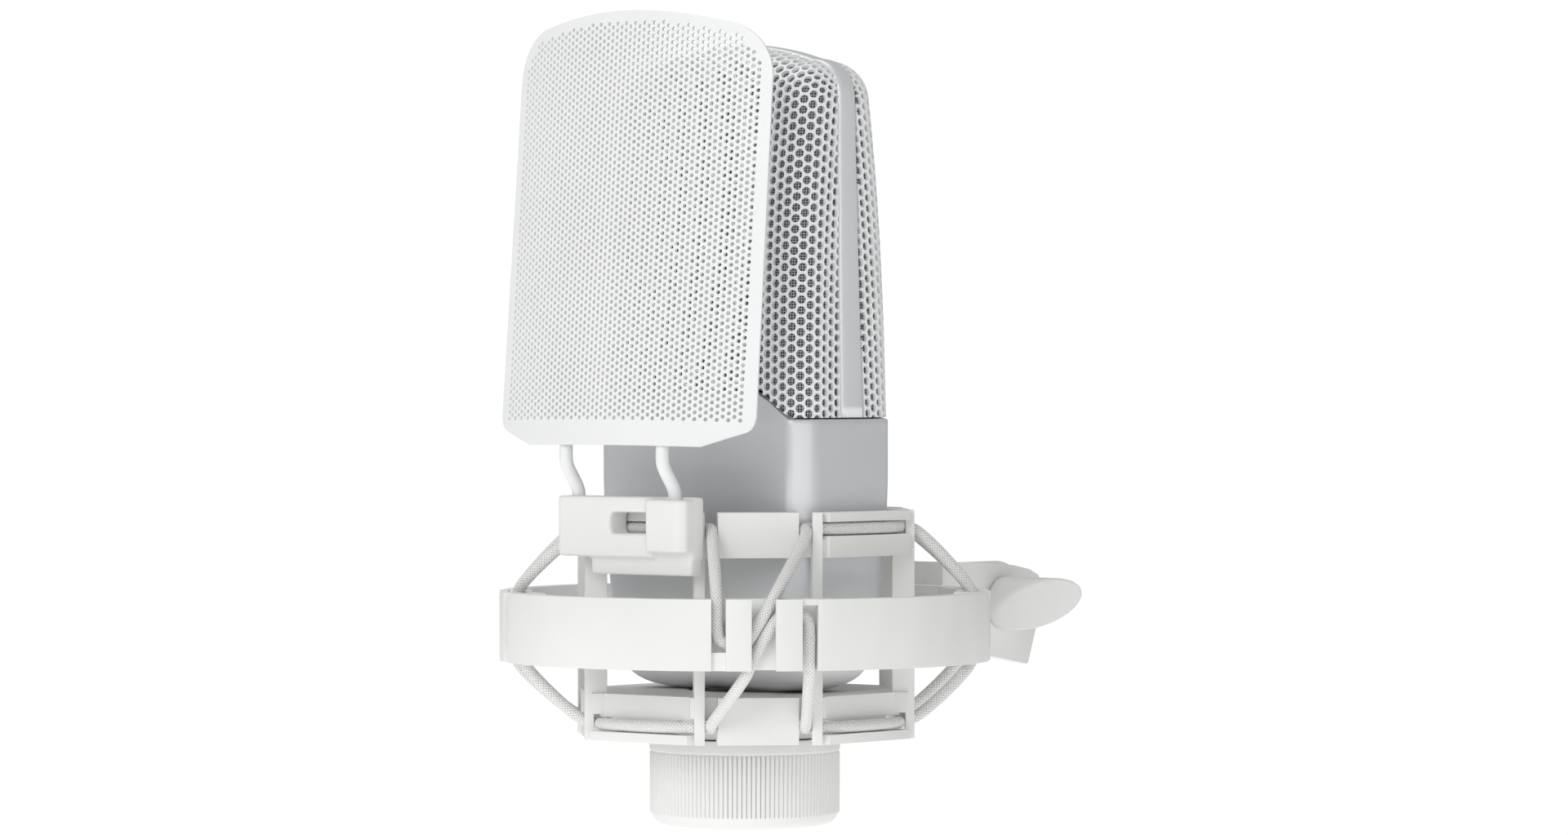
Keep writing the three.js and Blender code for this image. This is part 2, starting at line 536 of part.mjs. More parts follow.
function swivel() {
  const group = new THREE.Group();
  const [pivotY, pivotZ] = PIVOT;
  const profile = outline([
    [50, 38.3], [83.4, 32.6], [84, 33], [87.2, 41.6], [88.9, 47], [89, 50.2], [87.8, 52.9],
    [84.5, 54.3], [78.2, 55.4], [61.9, 56.4], [50, 56.8],
  ]);
  const inner = YOKE_HALF - YOKE_EAR;
  const web = outline([[50, 38.3], [59.5, 36.7], [59.5, 52], [63.5, 52], [63.5, 56.3], [50, 56.8]]);
  const boltHole = alongX(disc(BOLT_RADIUS + GAP, -40, 40, COARSE), pivotY, pivotZ);
  const yoke = union([
    sidePrism(profile, -YOKE_HALF, -inner), sidePrism(profile, inner, YOKE_HALF), sidePrism(web, -inner - 1, inner + 1),
  ]).subtract(disc(RING_RADIUS + 0.1, 0, 100, 96)).subtract(boltHole);
  const screwHoles = union(YOKE_SCREWS.map((x) => alongY(disc(1.7, 40, 58, 16), x, YOKE_SCREW_Z)));
  group.add(piece('swivel_yoke', yoke.subtract(screwHoles), plastic()));
  YOKE_SCREWS.forEach((x, i) => {
    const screw = disc(1.4, 48, 57.5, 16).add(disc(2.8, 47, RING_INNER - 1.3, 16));
    group.add(piece(`yoke_screw_${i + 1}`, alongY(screw, x, YOKE_SCREW_Z), steel()));
  });

  const headX = -YOKE_HALF - GAP;
  const bolt = disc(BOLT_RADIUS, headX - 1, BOLT_END, COARSE).add(disc(KNOB_RADIUS, headX - 3.5, headX, 6));
  group.add(piece('clamp_bolt', alongX(bolt, pivotY, pivotZ), steel()));
  for (const [name, way] of [['friction_washer_1', -1], ['friction_washer_2', 1]]) {
    const washer = tubeRing(BOLT_RADIUS + GAP, 8.6, way * 9.2 - 0.5, way * 9.2 + 0.5, COARSE);
    group.add(piece(name, alongX(washer, pivotY, pivotZ), blackPlastic()));
  }

  const knobLow = YOKE_HALF + GAP;
  const stock = disc(KNOB_RADIUS, knobLow, 36, FINE).subtract(disc(BOLT_RADIUS + GAP, 0, BOLT_END + GAP, COARSE));
  const mitre = outline([[-20, -20], [20, -20], [20, 20], [-20, 20]]);
  const mitreNormal = new THREE.Vector3(1, -1.115, -0.86).normalize();
  const cutter = new THREE.ExtrudeGeometry(mitre, { depth: 30, bevelEnabled: false });
  cutter.applyQuaternion(new THREE.Quaternion().setFromUnitVectors(new THREE.Vector3(0, 0, 1), mitreNormal));
  cutter.translate(25, pivotY, pivotZ);
  group.add(piece('clamp_knob', alongX(stock, pivotY, pivotZ).subtract(solid(cutter)), plastic()));

  const lugHalf = 8.4;
  const threadRadius = 4.76;
  const lug = alongX(disc(ADAPTER_RADIUS, -lugHalf, lugHalf, FINE), pivotY, pivotZ);
  const socket = alongY(turned([
    [0, pivotY], [ADAPTER_RADIUS, pivotY], [ADAPTER_RADIUS, ADAPTER_MOUTH - 1],
    [ADAPTER_RADIUS - 1, ADAPTER_MOUTH], [0, ADAPTER_MOUTH],
  ], FINE), 0, pivotZ).intersect(box([-lugHalf, lugHalf], [0, 100], [0, 100]));
  const adapter = lug.add(socket).subtract(boltHole)
    .subtract(alongY(disc(6.9, 79.3, 100, COARSE), 0, pivotZ));
  group.add(piece('stand_adapter', adapter, plastic()));
  group.add(piece('thread_insert', alongY(tubeRing(threadRadius, 6.7, 79.6, ADAPTER_MOUTH - 0.2, COARSE), 0, pivotZ),
    steel()));
  return group;
}

// ---------------------------------------------------------------- pop filter
function screenOutline() {
  const side = 36;
  const cornerRadius = 12;
  const shape = new THREE.Shape();
  shape.moveTo(-24.5, SCREEN_LOW);
  shape.lineTo(24.5, SCREEN_LOW);
  shape.lineTo(34.3, SCREEN_LOW + 3.3);
  shape.quadraticCurveTo(side + 0.4, SCREEN_LOW + 4.2, side + 0.4, SCREEN_LOW + 7.5);
  shape.lineTo(side, SCREEN_HIGH - cornerRadius - 2.6);
  shape.absarc(side - cornerRadius, SCREEN_HIGH - cornerRadius - 2.6, cornerRadius, 0, Math.PI * 0.46);
  shape.quadraticCurveTo(12, SCREEN_HIGH, 0, SCREEN_HIGH);
  shape.quadraticCurveTo(-12, SCREEN_HIGH, -side + cornerRadius - 1.5, SCREEN_HIGH - 2.7);
  shape.absarc(-side + cornerRadius, SCREEN_HIGH - cornerRadius - 2.6, cornerRadius, Math.PI * 0.54, Math.PI);
  shape.lineTo(-side - 0.4, SCREEN_LOW + 7.5);
  shape.quadraticCurveTo(-side - 0.4, SCREEN_LOW + 4.2, -34.3, SCREEN_LOW + 3.3);
  return shape;
}

// Stands a shape up to the lean of the screen about its lower edge.
function leaned(shape) {
  const degrees = THREE.MathUtils.radToDeg(SCREEN_LEAN);
  return shape.translate([0, SCREEN_FRONT, -SCREEN_LOW]).rotate([-degrees, 0, 0])
    .translate([0, -SCREEN_FRONT, SCREEN_LOW]);
}

function popFilter() {
  const group = new THREE.Group();
  const curve = tubeRing(SCREEN_RADIUS - SCREEN_SHEET, SCREEN_RADIUS, SCREEN_LOW - 5, SCREEN_HIGH + 5, 160)
    .translate([0, SCREEN_RADIUS - SCREEN_FRONT, 0]);
  const sheet = curve.intersect(frontPrism(screenOutline(), -SCREEN_FRONT - 5, -SCREEN_FRONT + 12));
  group.add(piece('pop_filter_screen', leaned(sheet), whiteMetal()));

  const behind = SCREEN_FRONT - ROD_X ** 2 / (2 * SCREEN_RADIUS) - SCREEN_SHEET - ROD_RADIUS - 0.25;
  const leanAt = (z) => Math.tan(SCREEN_LEAN) * (z - SCREEN_LOW);
  for (const [name, way] of [['left_rod', -1], ['right_rod', 1]]) {
    const profile = [
      [behind - leanAt(101), 101], [behind - leanAt(90), 90], [behind, SCREEN_LOW], [behind, 80.6],
      [behind - 0.5, 79.2], [39.9, 74.8], [39.4, 73.2], [39.4, 63.6],
    ];
    const points = profile.map(([front, z]) => new THREE.Vector3(way * ROD_X, -front, z));
    group.add(piece(name, tubeAlong(points, ROD_RADIUS, 12), whiteMetal()));
  }

  const back = CAGE_APOTHEM + GAP;
  const plan = (points) => outline(points.map(([x, front]) => [x, -front]));
  const plate = prism(plan([
    [-18.2, back], [-18.2, 41.2], [-17, CLIP_FRONT], [9.5, CLIP_FRONT], [9.5, 39],
    [CLIP_RIGHT, 39], [CLIP_RIGHT, back],
  ]), CLIP_LOW, 72.9);
  const block = prism(plan([[8.3, 38], [8.3, 42.8], [9, 43.4], [17.6, 43.4], [19.2, 42], [19.2, 38]]), 61, 72.4);
  const tongue = box([-9.9, 18.8], [-39.9, -back], [56, 62.2]);
  const hole = (way) => disc(ROD_RADIUS + 0.15, 63.2, 80, 16).translate([way * ROD_X, -39.4, 0]);
  const clip = union([
    plate, block, tongue,
    box([-11, 11], [-back - 0.2, -32], [CAGE_TOP + GAP, CAGE_TOP + 1.8]),
    box([-6.4, 6.4], [-back - 0.2, -33.2], [57.2, CAGE_TOP - CAGE_RING - GAP]),
  ]).subtract(box([-2.5, 8.2], [-50, -back + 0.01], [65, 69.5])).subtract(hole(-1).add(hole(1)));
  group.add(piece('rod_clip', clip, plastic()));
  return group;
}

// ---------------------------------------------------------------- assembly
const assembly = new THREE.Group();
assembly.name = 'studio_microphone';
const placed = new THREE.Group();
placed.add(microphone(), ringNut(), cradle(), outerRing());
placed.add(cord('upper_cord', UPPER_ROUTE), cord('lower_cord', LOWER_ROUTE));
placed.add(swivel(), popFilter());
placed.position.set(0, -ADAPTER_MOUTH, -PIVOT[1]);
assembly.add(placed);

export default assembly;
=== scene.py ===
"""Looks of a studio microphone in an elastic shock mount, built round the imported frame.

Shapes are worked out in millimetres from the microphone's axis at the bottom of the ring nut, with +Z up
and the microphone's front towards -Y. place() turns such a point into the frame's metres.
"""
import json
import math
from contextlib import contextmanager

import bmesh
import bpy
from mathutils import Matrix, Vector


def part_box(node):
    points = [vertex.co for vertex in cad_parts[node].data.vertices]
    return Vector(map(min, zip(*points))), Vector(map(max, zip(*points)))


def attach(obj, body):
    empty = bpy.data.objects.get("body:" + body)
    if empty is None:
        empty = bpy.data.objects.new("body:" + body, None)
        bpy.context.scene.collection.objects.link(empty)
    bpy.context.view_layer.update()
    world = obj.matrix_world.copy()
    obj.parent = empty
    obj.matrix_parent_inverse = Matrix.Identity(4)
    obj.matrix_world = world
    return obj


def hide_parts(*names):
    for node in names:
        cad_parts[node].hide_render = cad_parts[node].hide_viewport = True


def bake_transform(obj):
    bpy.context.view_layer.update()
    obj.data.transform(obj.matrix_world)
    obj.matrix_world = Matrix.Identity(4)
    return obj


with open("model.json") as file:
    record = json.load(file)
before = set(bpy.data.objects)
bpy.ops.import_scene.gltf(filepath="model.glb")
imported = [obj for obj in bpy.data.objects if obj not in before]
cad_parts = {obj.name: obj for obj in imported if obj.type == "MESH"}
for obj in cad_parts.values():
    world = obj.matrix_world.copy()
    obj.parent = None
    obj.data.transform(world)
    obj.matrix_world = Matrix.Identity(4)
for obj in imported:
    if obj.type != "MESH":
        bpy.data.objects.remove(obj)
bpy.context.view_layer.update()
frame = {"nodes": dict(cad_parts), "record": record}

NODES = frame["nodes"]
MM = 0.001
NUT_LOW, NUT_HIGH = (Vector(corner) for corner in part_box("ring_nut"))
ORIGIN = Vector(((NUT_LOW.x + NUT_HIGH.x) / 2, (NUT_LOW.y + NUT_HIGH.y) / 2, NUT_LOW.z))
TAU = 2 * math.pi


def place(x, y, z):
    """A point in millimetres from the foot of the microphone's axis, in the frame's metres."""
    return ORIGIN + Vector((x, y, z)) * MM


def extent(node):
    """(lowest, highest) corner of a CAD node in millimetres from the foot of the microphone's axis."""
    return tuple((Vector(corner) - ORIGIN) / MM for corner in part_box(node))


# ---------------------------------------------------------------- sizes
BODY_HALF_X, BODY_HALF_Y = extent("mic_body")[1].x, extent("mic_body")[1].y
BODY_CHAMFER = 4.4
BODY_EDGE = 1.3                  # rounding of the chamfer's edges
BODY_TAPER = 3.2
BODY_TAPER_TOP = 76              # the walls are straight above this height
BODY_BOTTOM = 30.0
BODY_TOP = 89.5
FOOT_PAINTED_REFLECTION = (35.5, 39.0)        # painted reflection: the paler paint on the foot, which also lifts its shade, ends softly between these heights
BODY_WALL = 2.2
ARCH_TOP = extent("mic_body")[1].z
ARCH_HALF = 17.7

HEAD_TOP = extent("front_grille")[1].z
HEAD_SHOULDER = 160.3
HEAD_DRAW_X = 1.55               # how far the head's sides draw in up to the shoulder
HEAD_DRAW_Y = 4.3                # and its front and rear
HEAD_ROUND = 8.0                 # rounding between the head's faces
HEAD_CROWN = 4.83                # how far the top falls away from its middle
HEAD_CROWN_HALF = 24.8
BAND_LOW, BAND_HIGH = 3.9, 2.6   # half width of the side band at its two heights
BAND_FROM, BAND_TO = 80, 180
GAP = 0.3                        # between the grille and its neighbours

GRILLE_PITCH = 2.35
GRILLE_HOLE = 0.95               # hole radius
GRILLE_SHEET = 0.8
CLOTH_INSET = 1.35               # wire cloth behind the grille's outside
CLOTH_SHEET = 0.4
SCREEN_PITCH = 1.47
SCREEN_HOLE = 0.46               # hole radius

NUT_RADIUS = 21.0
RIBS = 126

CORD_RADIUS = 1.3
CAGE_WALL_OUT = 32.8             # outside of the cradle's wall, behind the cord

SCREEN_RADIUS = 96.0
SCREEN_SHEET = 0.8
SCREEN_FRONT = 47.0
SCREEN_LOW = 84.1
SCREEN_HIGH = 178.1
SCREEN_LEAN = math.radians(4.8)
ROD_RADIUS = 1.45
ROD_X = 13.8

PIVOT_Z = 46.8                   # height of the stand thread's axis


# ---------------------------------------------------------------- mesh helpers
def mesh_object(name, points, faces, uvs=None, smooth=True):
    """A mesh from points in millimetres. uvs holds one (u, v) for each point."""
    mesh = bpy.data.meshes.new(name)
    mesh.from_pydata([place(*point) for point in points], [], faces)
    if uvs:
        layer = mesh.uv_layers.new(name="UVMap")
        for loop in mesh.loops:
            layer.data[loop.index].uv = uvs[loop.vertex_index]
    for polygon in mesh.polygons:
        polygon.use_smooth = smooth
    mesh.update()
    piece = bpy.data.objects.new(name, mesh)
    bpy.context.scene.collection.objects.link(piece)
    return piece


def apply_modifiers(piece):
    """Replaces the mesh by its modified one and drops the modifiers."""
    graph = bpy.context.evaluated_depsgraph_get()
    result = bpy.data.meshes.new_from_object(piece.evaluated_get(graph))
    piece.modifiers.clear()
    piece.data = result


@contextmanager
def edited(piece):
    """Opens a piece's mesh for editing and writes it back."""
    work = bmesh.new()
    work.from_mesh(piece.data)
    yield work
    work.to_mesh(piece.data)
    work.free()


def outward(piece):
    """Turns every face to look outwards."""
    with edited(piece) as work:
        bmesh.ops.recalc_face_normals(work, faces=work.faces)


def sharpen(piece, degrees=35.0):
    """Smooth shading with sharp edges where faces meet at more than the given angle."""
    piece.data.shade_smooth()
    piece.data.set_sharp_from_angle(angle=math.radians(degrees))


def thicken(piece, thickness):
    """Gives a sheet a thickness in millimetres, away from the side that its faces look to."""
    solid = piece.modifiers.new("thickness", "SOLIDIFY")
    solid.thickness = thickness * MM
    solid.offset = -1
    apply_modifiers(piece)
    sharpen(piece, 50)


def rings_object(name, rings):
    """Joins rings of equally many points into a skin and closes its two ends."""
    count = len(rings[0])
    points = [point for ring in rings for point in ring]
    faces = []
    for row in range(len(rings) - 1):
        for i in range(count):
            j = (i + 1) % count
            faces.append((row * count + i, row * count + j, (row + 1) * count + j, (row + 1) * count + i))
    faces.append(tuple(range(count))[::-1])
    faces.append(tuple((len(rings) - 1) * count + i for i in range(count)))
    piece = mesh_object(name, points, faces)
    outward(piece)
    return piece


def smooth_path(points, step, tension=0.5):
    """Points about a step apart on a curve through the given points (centripetal Catmull-Rom)."""
    ends = [points[0] * 2 - points[1]] + points + [points[-1] * 2 - points[-2]]
    path = []
    for p0, p1, p2, p3 in zip(ends, ends[1:], ends[2:], ends[3:]):
        t1 = (p1 - p0).length ** tension
        t2 = t1 + (p2 - p1).length ** tension
        t3 = t2 + (p3 - p2).length ** tension
        pieces = max(1, round((p2 - p1).length / step))
        for i in range(pieces):
            t = t1 + (t2 - t1) * i / pieces
            a1 = p0.lerp(p1, t / t1)
            a2 = p1.lerp(p2, (t - t1) / (t2 - t1))
            a3 = p2.lerp(p3, (t - t2) / (t3 - t2))
            b1 = a1.lerp(a2, t / t2)
            b2 = a2.lerp(a3, (t - t1) / (t3 - t1))
            path.append(b1.lerp(b2, (t - t1) / (t2 - t1)))
    path.append(points[-1])
    return path


def tube(name, path, radius, sides):
    """A round tube along a path with closed ends. Its UVs are millimetres along and the share of a turn."""
    side = (path[1] - path[0]).normalized().orthogonal()
    points, uvs, faces = [], [], []
    run = 0.0
    for i, centre in enumerate(path):
        tangent = (path[min(i + 1, len(path) - 1)] - path[max(i - 1, 0)]).normalized()
        side = (side - tangent * side.dot(tangent)).normalized()
        other = tangent.cross(side)
        if i:
            run += (centre - path[i - 1]).length
        for k in range(sides + 1):
            angle = TAU * k / sides
            points.append(centre + (side * math.cos(angle) + other * math.sin(angle)) * radius)
            uvs.append((run, k / sides))
    ring = sides + 1
    for row in range(len(path) - 1):
        for k in range(sides):
            a = row * ring + k
            faces.append((a, a + 1, a + 1 + ring, a + ring))
    faces.append(tuple(range(sides))[::-1])
    last = (len(path) - 1) * ring
    faces.append(tuple(last + k for k in range(sides)))
    piece = mesh_object(name, points, faces, uvs)
    with edited(piece) as work:
        bmesh.ops.remove_doubles(work, verts=work.verts, dist=0.001 * MM)
        bmesh.ops.recalc_face_normals(work, faces=work.faces)
    sharpen(piece, 60)
    return piece


def moulded_copy(node):
    """A new object with a copy of a CAD node's mesh, without its materials."""
    piece = bpy.data.objects.new(f"{node}_moulded", NODES[node].data.copy())
    bpy.context.scene.collection.objects.link(piece)
    piece.data.materials.clear()
    return piece


def refined(node, bevel, segments=3, sharp=28.0):
    """A copy of a CAD node with its facets joined and its edges rounded by a bevel in millimetres.

    Known fault: two of the cradle's joined faces split into triangles that run across its opening, and
    two of the yoke's into small wrong ones.
    """
    piece = moulded_copy(node)
    with edited(piece) as work:
        bmesh.ops.remove_doubles(work, verts=work.verts, dist=0.02 * MM)
        bmesh.ops.dissolve_limit(work, angle_limit=math.radians(1.5), verts=work.verts, edges=work.edges)
        bmesh.ops.recalc_face_normals(work, faces=work.faces)
    cut = piece.modifiers.new("edges", "BEVEL")
    cut.width = bevel * MM
    cut.segments = segments
    cut.limit_method = "ANGLE"
    cut.angle_limit = math.radians(sharp)
    cut.use_clamp_overlap = True
    cut.harden_normals = True
    piece.data.shade_smooth()
    apply_modifiers(piece)
    return piece


def softened(node, voxel, passes):
    """A copy of a CAD node remeshed in fine cells and relaxed, which rounds every edge softly."""
    piece = moulded_copy(node)
    cells = piece.modifiers.new("cells", "REMESH")
    cells.mode = "VOXEL"
    cells.voxel_size = voxel * MM
    relax = piece.modifiers.new("relax", "SMOOTH")
    relax.factor = 0.5
    relax.iterations = passes
    apply_modifiers(piece)
    piece.data.shade_smooth()
    return piece


def finish_piece(piece, body, node_names, material):
    """Gives a piece its material, hangs it on the body that it rides on and hides the CAD nodes that it
    replaces.
    """
    piece.data.materials.clear()
    piece.data.materials.append(material)
    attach(piece, body)
    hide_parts(*node_names)


# ---------------------------------------------------------------- perforated sheets
def nearest_edge(outline, point):
    """(distance, edge number) from a point to a closed outline."""
    best, number = 1e9, 0
    for i, a in enumerate(outline):
        b = outline[(i + 1) % len(outline)]
        edge = b - a
        share = max(0.0, min(1.0, (point - a).dot(edge) / edge.length_squared))
        gap = (point - a - edge * share).length
        if gap < best:
            best, number = gap, i
    return best, number


def within(outline, point):
    """Whether a point lies inside a closed outline."""
    inside = False
    for a, b in zip(outline, outline[1:] + outline[:1]):
        if (a.y > point.y) != (b.y > point.y):
            if point.x < a.x + (b.x - a.x) * (point.y - a.y) / (b.y - a.y):
                inside = not inside
    return inside


def clipped(polygon, outline):
    """The part of a small polygon that lies inside an anticlockwise outline."""
    edges = {nearest_edge(outline, point)[1] for point in polygon if not within(outline, point)}
    for number in edges:
        a, b = outline[number], outline[(number + 1) % len(outline)]
        inward = Vector((a.y - b.y, b.x - a.x))
        kept = []
        for here, after in zip(polygon, polygon[1:] + polygon[:1]):
            depth_here, depth_after = inward.dot(here - a), inward.dot(after - a)
            if depth_here >= 0:
                kept.append(here)
            if (depth_here > 0) != (depth_after > 0) and depth_here != depth_after:
                kept.append(here.lerp(after, depth_here / (depth_here - depth_after)))
        polygon = kept
        if len(polygon) < 3:
            return []
    return polygon


def perforated(name, outline, pitch, hole, has_hole, surface, first_z):
    """A sheet of hexagonal cells with round holes.

    It is cut out flat along an (x, z) outline and bent by surface(x, z).
    """
    spacing = pitch * math.sqrt(3) / 2
    corner = pitch / math.sqrt(3)
    sides = 12
    columns = int(max(point.x for point in outline) / spacing) + 1
    rows = int((max(point.y for point in outline) - first_z) / pitch) + 2
    rim, edge = [], []
    for k in range(sides):
        angle = TAU * k / sides
        reach = corner if k % 2 == 0 else pitch / 2
        rim.append(Vector((math.cos(angle), math.sin(angle))) * hole)
        edge.append(Vector((math.cos(angle), math.sin(angle))) * reach)
    points, faces, uvs, known = [], [], [], {}

    def vertex(flat):
        key = (round(flat.x, 3), round(flat.y, 3))
        if key not in known:
            known[key] = len(points)
            points.append(surface(flat.x, flat.y))
            uvs.append((flat.x, flat.y))
        return known[key]

    for column in range(-columns, columns + 1):
        for row in range(rows):
            centre = Vector((column * spacing, first_z + (row + (0.5 if column % 2 else 0)) * pitch))
            gap = nearest_edge(outline, centre)[0]
            inside = within(outline, centre)
            if gap > corner and not inside:
                continue
            for k in range(sides):
                after = (k + 1) % sides
                cell = [centre + edge[k], centre + edge[after]]
                if has_hole(gap, centre):
                    cell += [centre + rim[after], centre + rim[k]]
                else:
                    cell.append(centre)
                if gap <= corner:
                    cell = clipped(cell, outline)
                numbers = list(dict.fromkeys(vertex(point) for point in cell))
                if len(numbers) > 2:
                    faces.append(tuple(numbers))
    sheet = mesh_object(name, points, faces, uvs)
    with edited(sheet) as work:
        bmesh.ops.remove_doubles(work, verts=work.verts, dist=0.003 * MM)
        bmesh.ops.dissolve_degenerate(work, edges=work.edges, dist=0.003 * MM)
    return sheet


# ---------------------------------------------------------------- grille head
def climb(z):
    """0 at the rim of the body, 1 at the shoulder of the head."""
    return max(0.0, (z - BODY_TOP) / (HEAD_SHOULDER - BODY_TOP))


def head_half_x(z):
    return BODY_HALF_X - HEAD_DRAW_X * climb(min(z, HEAD_SHOULDER)) ** 0.8


def head_half_y(z):
    return BODY_HALF_Y - HEAD_DRAW_Y * climb(z) ** 2.4


def head_crown(x):
    return HEAD_TOP - HEAD_CROWN * (x / HEAD_CROWN_HALF) ** 2


def band_half(z):
    return BAND_LOW + (BAND_HIGH - BAND_LOW) * (z - BAND_FROM) / (BAND_TO - BAND_FROM)


def rim_height(x):
    """Height of the body's rim: level at the sides and raised in the middle of the front and rear."""
    foot = BODY_HALF_X - BODY_CHAMFER
    share = (foot - abs(x)) / (foot - ARCH_HALF)
    return BODY_TOP + (ARCH_TOP - BODY_TOP) * min(1.0, max(0.0, share))


def sheet_reach(z, inset=0.0):
    """How far the flat sheet runs on from the start of the head's rounding to the side band."""
    radius = HEAD_ROUND - inset
    return radius * math.pi / 2 + head_half_y(z) - inset - radius - band_half(z) - GAP


def head_surface(x, z, inset=0.0, side=-1):
    """Wraps a flat sheet round the front (side -1) or rear (side 1) half of the head."""
    radius = HEAD_ROUND - inset
    straight = head_half_x(min(z, HEAD_SHOULDER)) - inset - radius
    base_x = max(-straight, min(straight, x))
    base_z = min(z, head_crown(base_x) - inset - radius)
    over_x, over_z = x - base_x, z - base_z
    length = math.hypot(over_x, over_z)
    back = 0.0
    if length > 1e-9:
        over = min(length, sheet_reach(base_z, inset))
        turn = min(over / radius, math.pi / 2)
        reach = radius * math.sin(turn)
        back = radius * (1 - math.cos(turn)) + max(0.0, over - radius * math.pi / 2)
        x, z = base_x + reach * over_x / length, base_z + reach * over_z / length
    z = max(z, rim_height(x) + GAP)
    return (x, side * (head_half_y(z) - inset - back), z)


def flat_head_outline():
    """The outline of one half of the head laid flat, anticlockwise, with the arch of the body's rim below."""
    foot = BODY_HALF_X - BODY_CHAMFER
    straight = head_half_x(HEAD_SHOULDER) - HEAD_ROUND
    corner_z = head_crown(straight) - HEAD_ROUND
    low, arch = BODY_TOP + GAP, ARCH_TOP + GAP
    right = [Vector((ARCH_HALF, arch)), Vector((foot, low))]
    for i in range(9):
        z = low + (corner_z - low) * i / 8
        right.append(Vector((head_half_x(z) - HEAD_ROUND + sheet_reach(z), z)))
    for i in range(1, 13):
        angle = math.pi / 2 * i / 12
        reach = sheet_reach(corner_z)
        right.append(Vector((straight + reach * math.cos(angle), corner_z + reach * math.sin(angle))))
    for i in range(1, 8):
        x = straight * (1 - i / 8)
        top = head_crown(x) - HEAD_ROUND
        right.append(Vector((x, top + sheet_reach(top))))
    peak = HEAD_TOP - HEAD_ROUND
    return right + [Vector((0.0, peak + sheet_reach(peak)))] + [Vector((-p.x, p.y)) for p in right[::-1]]


def grille(name, side):
    sheet = perforated(name, flat_head_outline(), GRILLE_PITCH, GRILLE_HOLE, lambda gap, centre: True,
                       lambda x, z: head_surface(x, z, 0.0, side), BODY_TOP - GRILLE_PITCH)
    outward_sheet(sheet)
    thicken(sheet, GRILLE_SHEET)
    return sheet


def outward_sheet(sheet):
    """Turns an open sheet's faces away from the microphone's middle."""
    middle = place(0, 0, (BODY_TOP + HEAD_TOP) / 2)
    with edited(sheet) as work:
        bmesh.ops.recalc_face_normals(work, faces=work.faces)
        facings = [face.normal.dot(face.calc_center_median() - middle) for face in work.faces]
        if sum(1 if facing > 0 else -1 for facing in facings) < 0:
            bmesh.ops.reverse_faces(work, faces=work.faces)


def wire_cloth(name, side):
    """The fine woven wire behind the perforated sheet, with UVs in millimetres."""
    step = 1.4
    half_width, below, above = 44, 2, 8
    columns = int(half_width / step)
    first = BODY_TOP - below
    rows = int((HEAD_TOP + above - first) / step)
    points, uvs, faces = [], [], []
    for row in range(rows + 1):
        for column in range(-columns, columns + 1):
            x, z = column * step, first + row * step
            points.append(head_surface(x, z, CLOTH_INSET, side))
            uvs.append((x, z))
    width = 2 * columns + 1
    for row in range(rows):
        for column in range(width - 1):
            a = row * width + column
            faces.append((a, a + 1, a + 1 + width, a + width))
    cloth = mesh_object(name, points, faces, uvs)
    with edited(cloth) as work:
        bmesh.ops.remove_doubles(work, verts=work.verts, dist=0.005 * MM)
        bmesh.ops.dissolve_degenerate(work, edges=work.edges, dist=0.005 * MM)
    outward_sheet(cloth)
    thicken(cloth, CLOTH_SHEET)
    return cloth


def head_path(count=26):
    """The head's outline in its middle plane, from the lower left over the top.

    Each point is (x, z, outward x, outward z).
    """
    straight = head_half_x(HEAD_SHOULDER) - HEAD_ROUND
    corner_z = head_crown(straight) - HEAD_ROUND
    right = []
    for i in range(count):
        z = BODY_TOP + GAP + (corner_z - BODY_TOP - GAP) * i / count
        right.append((head_half_x(z), z))
    for i in range(13):
        angle = math.pi / 2 * i / 12
        x = straight + HEAD_ROUND * math.cos(angle)
        right.append((x, corner_z + HEAD_ROUND * math.sin(angle)))
    for i in range(1, 14):
        x = straight * (1 - i / 14)
        right.append((x, head_crown(x)))
    path = [(-x, z) for x, z in right] + [(0.0, HEAD_TOP)] + right[::-1]
    route = []
    for i, (x, z) in enumerate(path):
        x0, z0 = path[max(0, i - 1)]
        x1, z1 = path[min(len(path) - 1, i + 1)]
        length = math.hypot(x1 - x0, z1 - z0)
        route.append((x, z, -(z1 - z0) / length, (x1 - x0) / length))
    return route


def side_band():
    """The smooth band between the two grilles, standing a little proud of them with rounded edges."""
    edge, proud, crown, depth = 1.2, 0.35, 0.12, 2.0
    rings = []
    for x, z, out_x, out_z in head_path():
        half = band_half(z)
        section = [(-half, -depth)]
        for i in range(7):
            angle = math.pi / 2 * i / 6
            section.append((-half + edge * (1 - math.cos(angle)), proud - edge * (1 - math.sin(angle))))
        section.append((0.0, proud + crown))
        section += [(-y, lift) for y, lift in section[-2::-1]]
        rings.append([(x + out_x * lift, y, z + out_z * lift) for y, lift in section])
    return rings_object("grille_band_formed", rings)


# ---------------------------------------------------------------- microphone body
def rounded_section(half_x, half_y, chamfer, edge):
    """A rectangle with cut corners whose edges are rounded, walked anticlockwise as (x, y)."""
    in_x, in_y = half_x - chamfer, half_y - chamfer
    corners = [(half_x, -in_y), (half_x, in_y), (in_x, half_y), (-in_x, half_y),
               (-half_x, in_y), (-half_x, -in_y), (-in_x, -half_y), (in_x, -half_y)]
    points = []
    steps, side_steps = 4, 12
    for i, (x, y) in enumerate(corners):
        before, after = Vector(corners[i - 1]), Vector(corners[(i + 1) % 8])
        here = Vector((x, y))
        start = here + (before - here).normalized() * edge
        end = here + (after - here).normalized() * edge
        for k in range(steps + 1):
            share = k / steps
            points.append(start.lerp(here, share).lerp(here.lerp(end, share), share))
        if i in (2, 6):
            far = Vector(corners[i + 1]) + (here - Vector(corners[i + 1])).normalized() * edge
            points += [end.lerp(far, k / side_steps) for k in range(1, side_steps)]
    return points


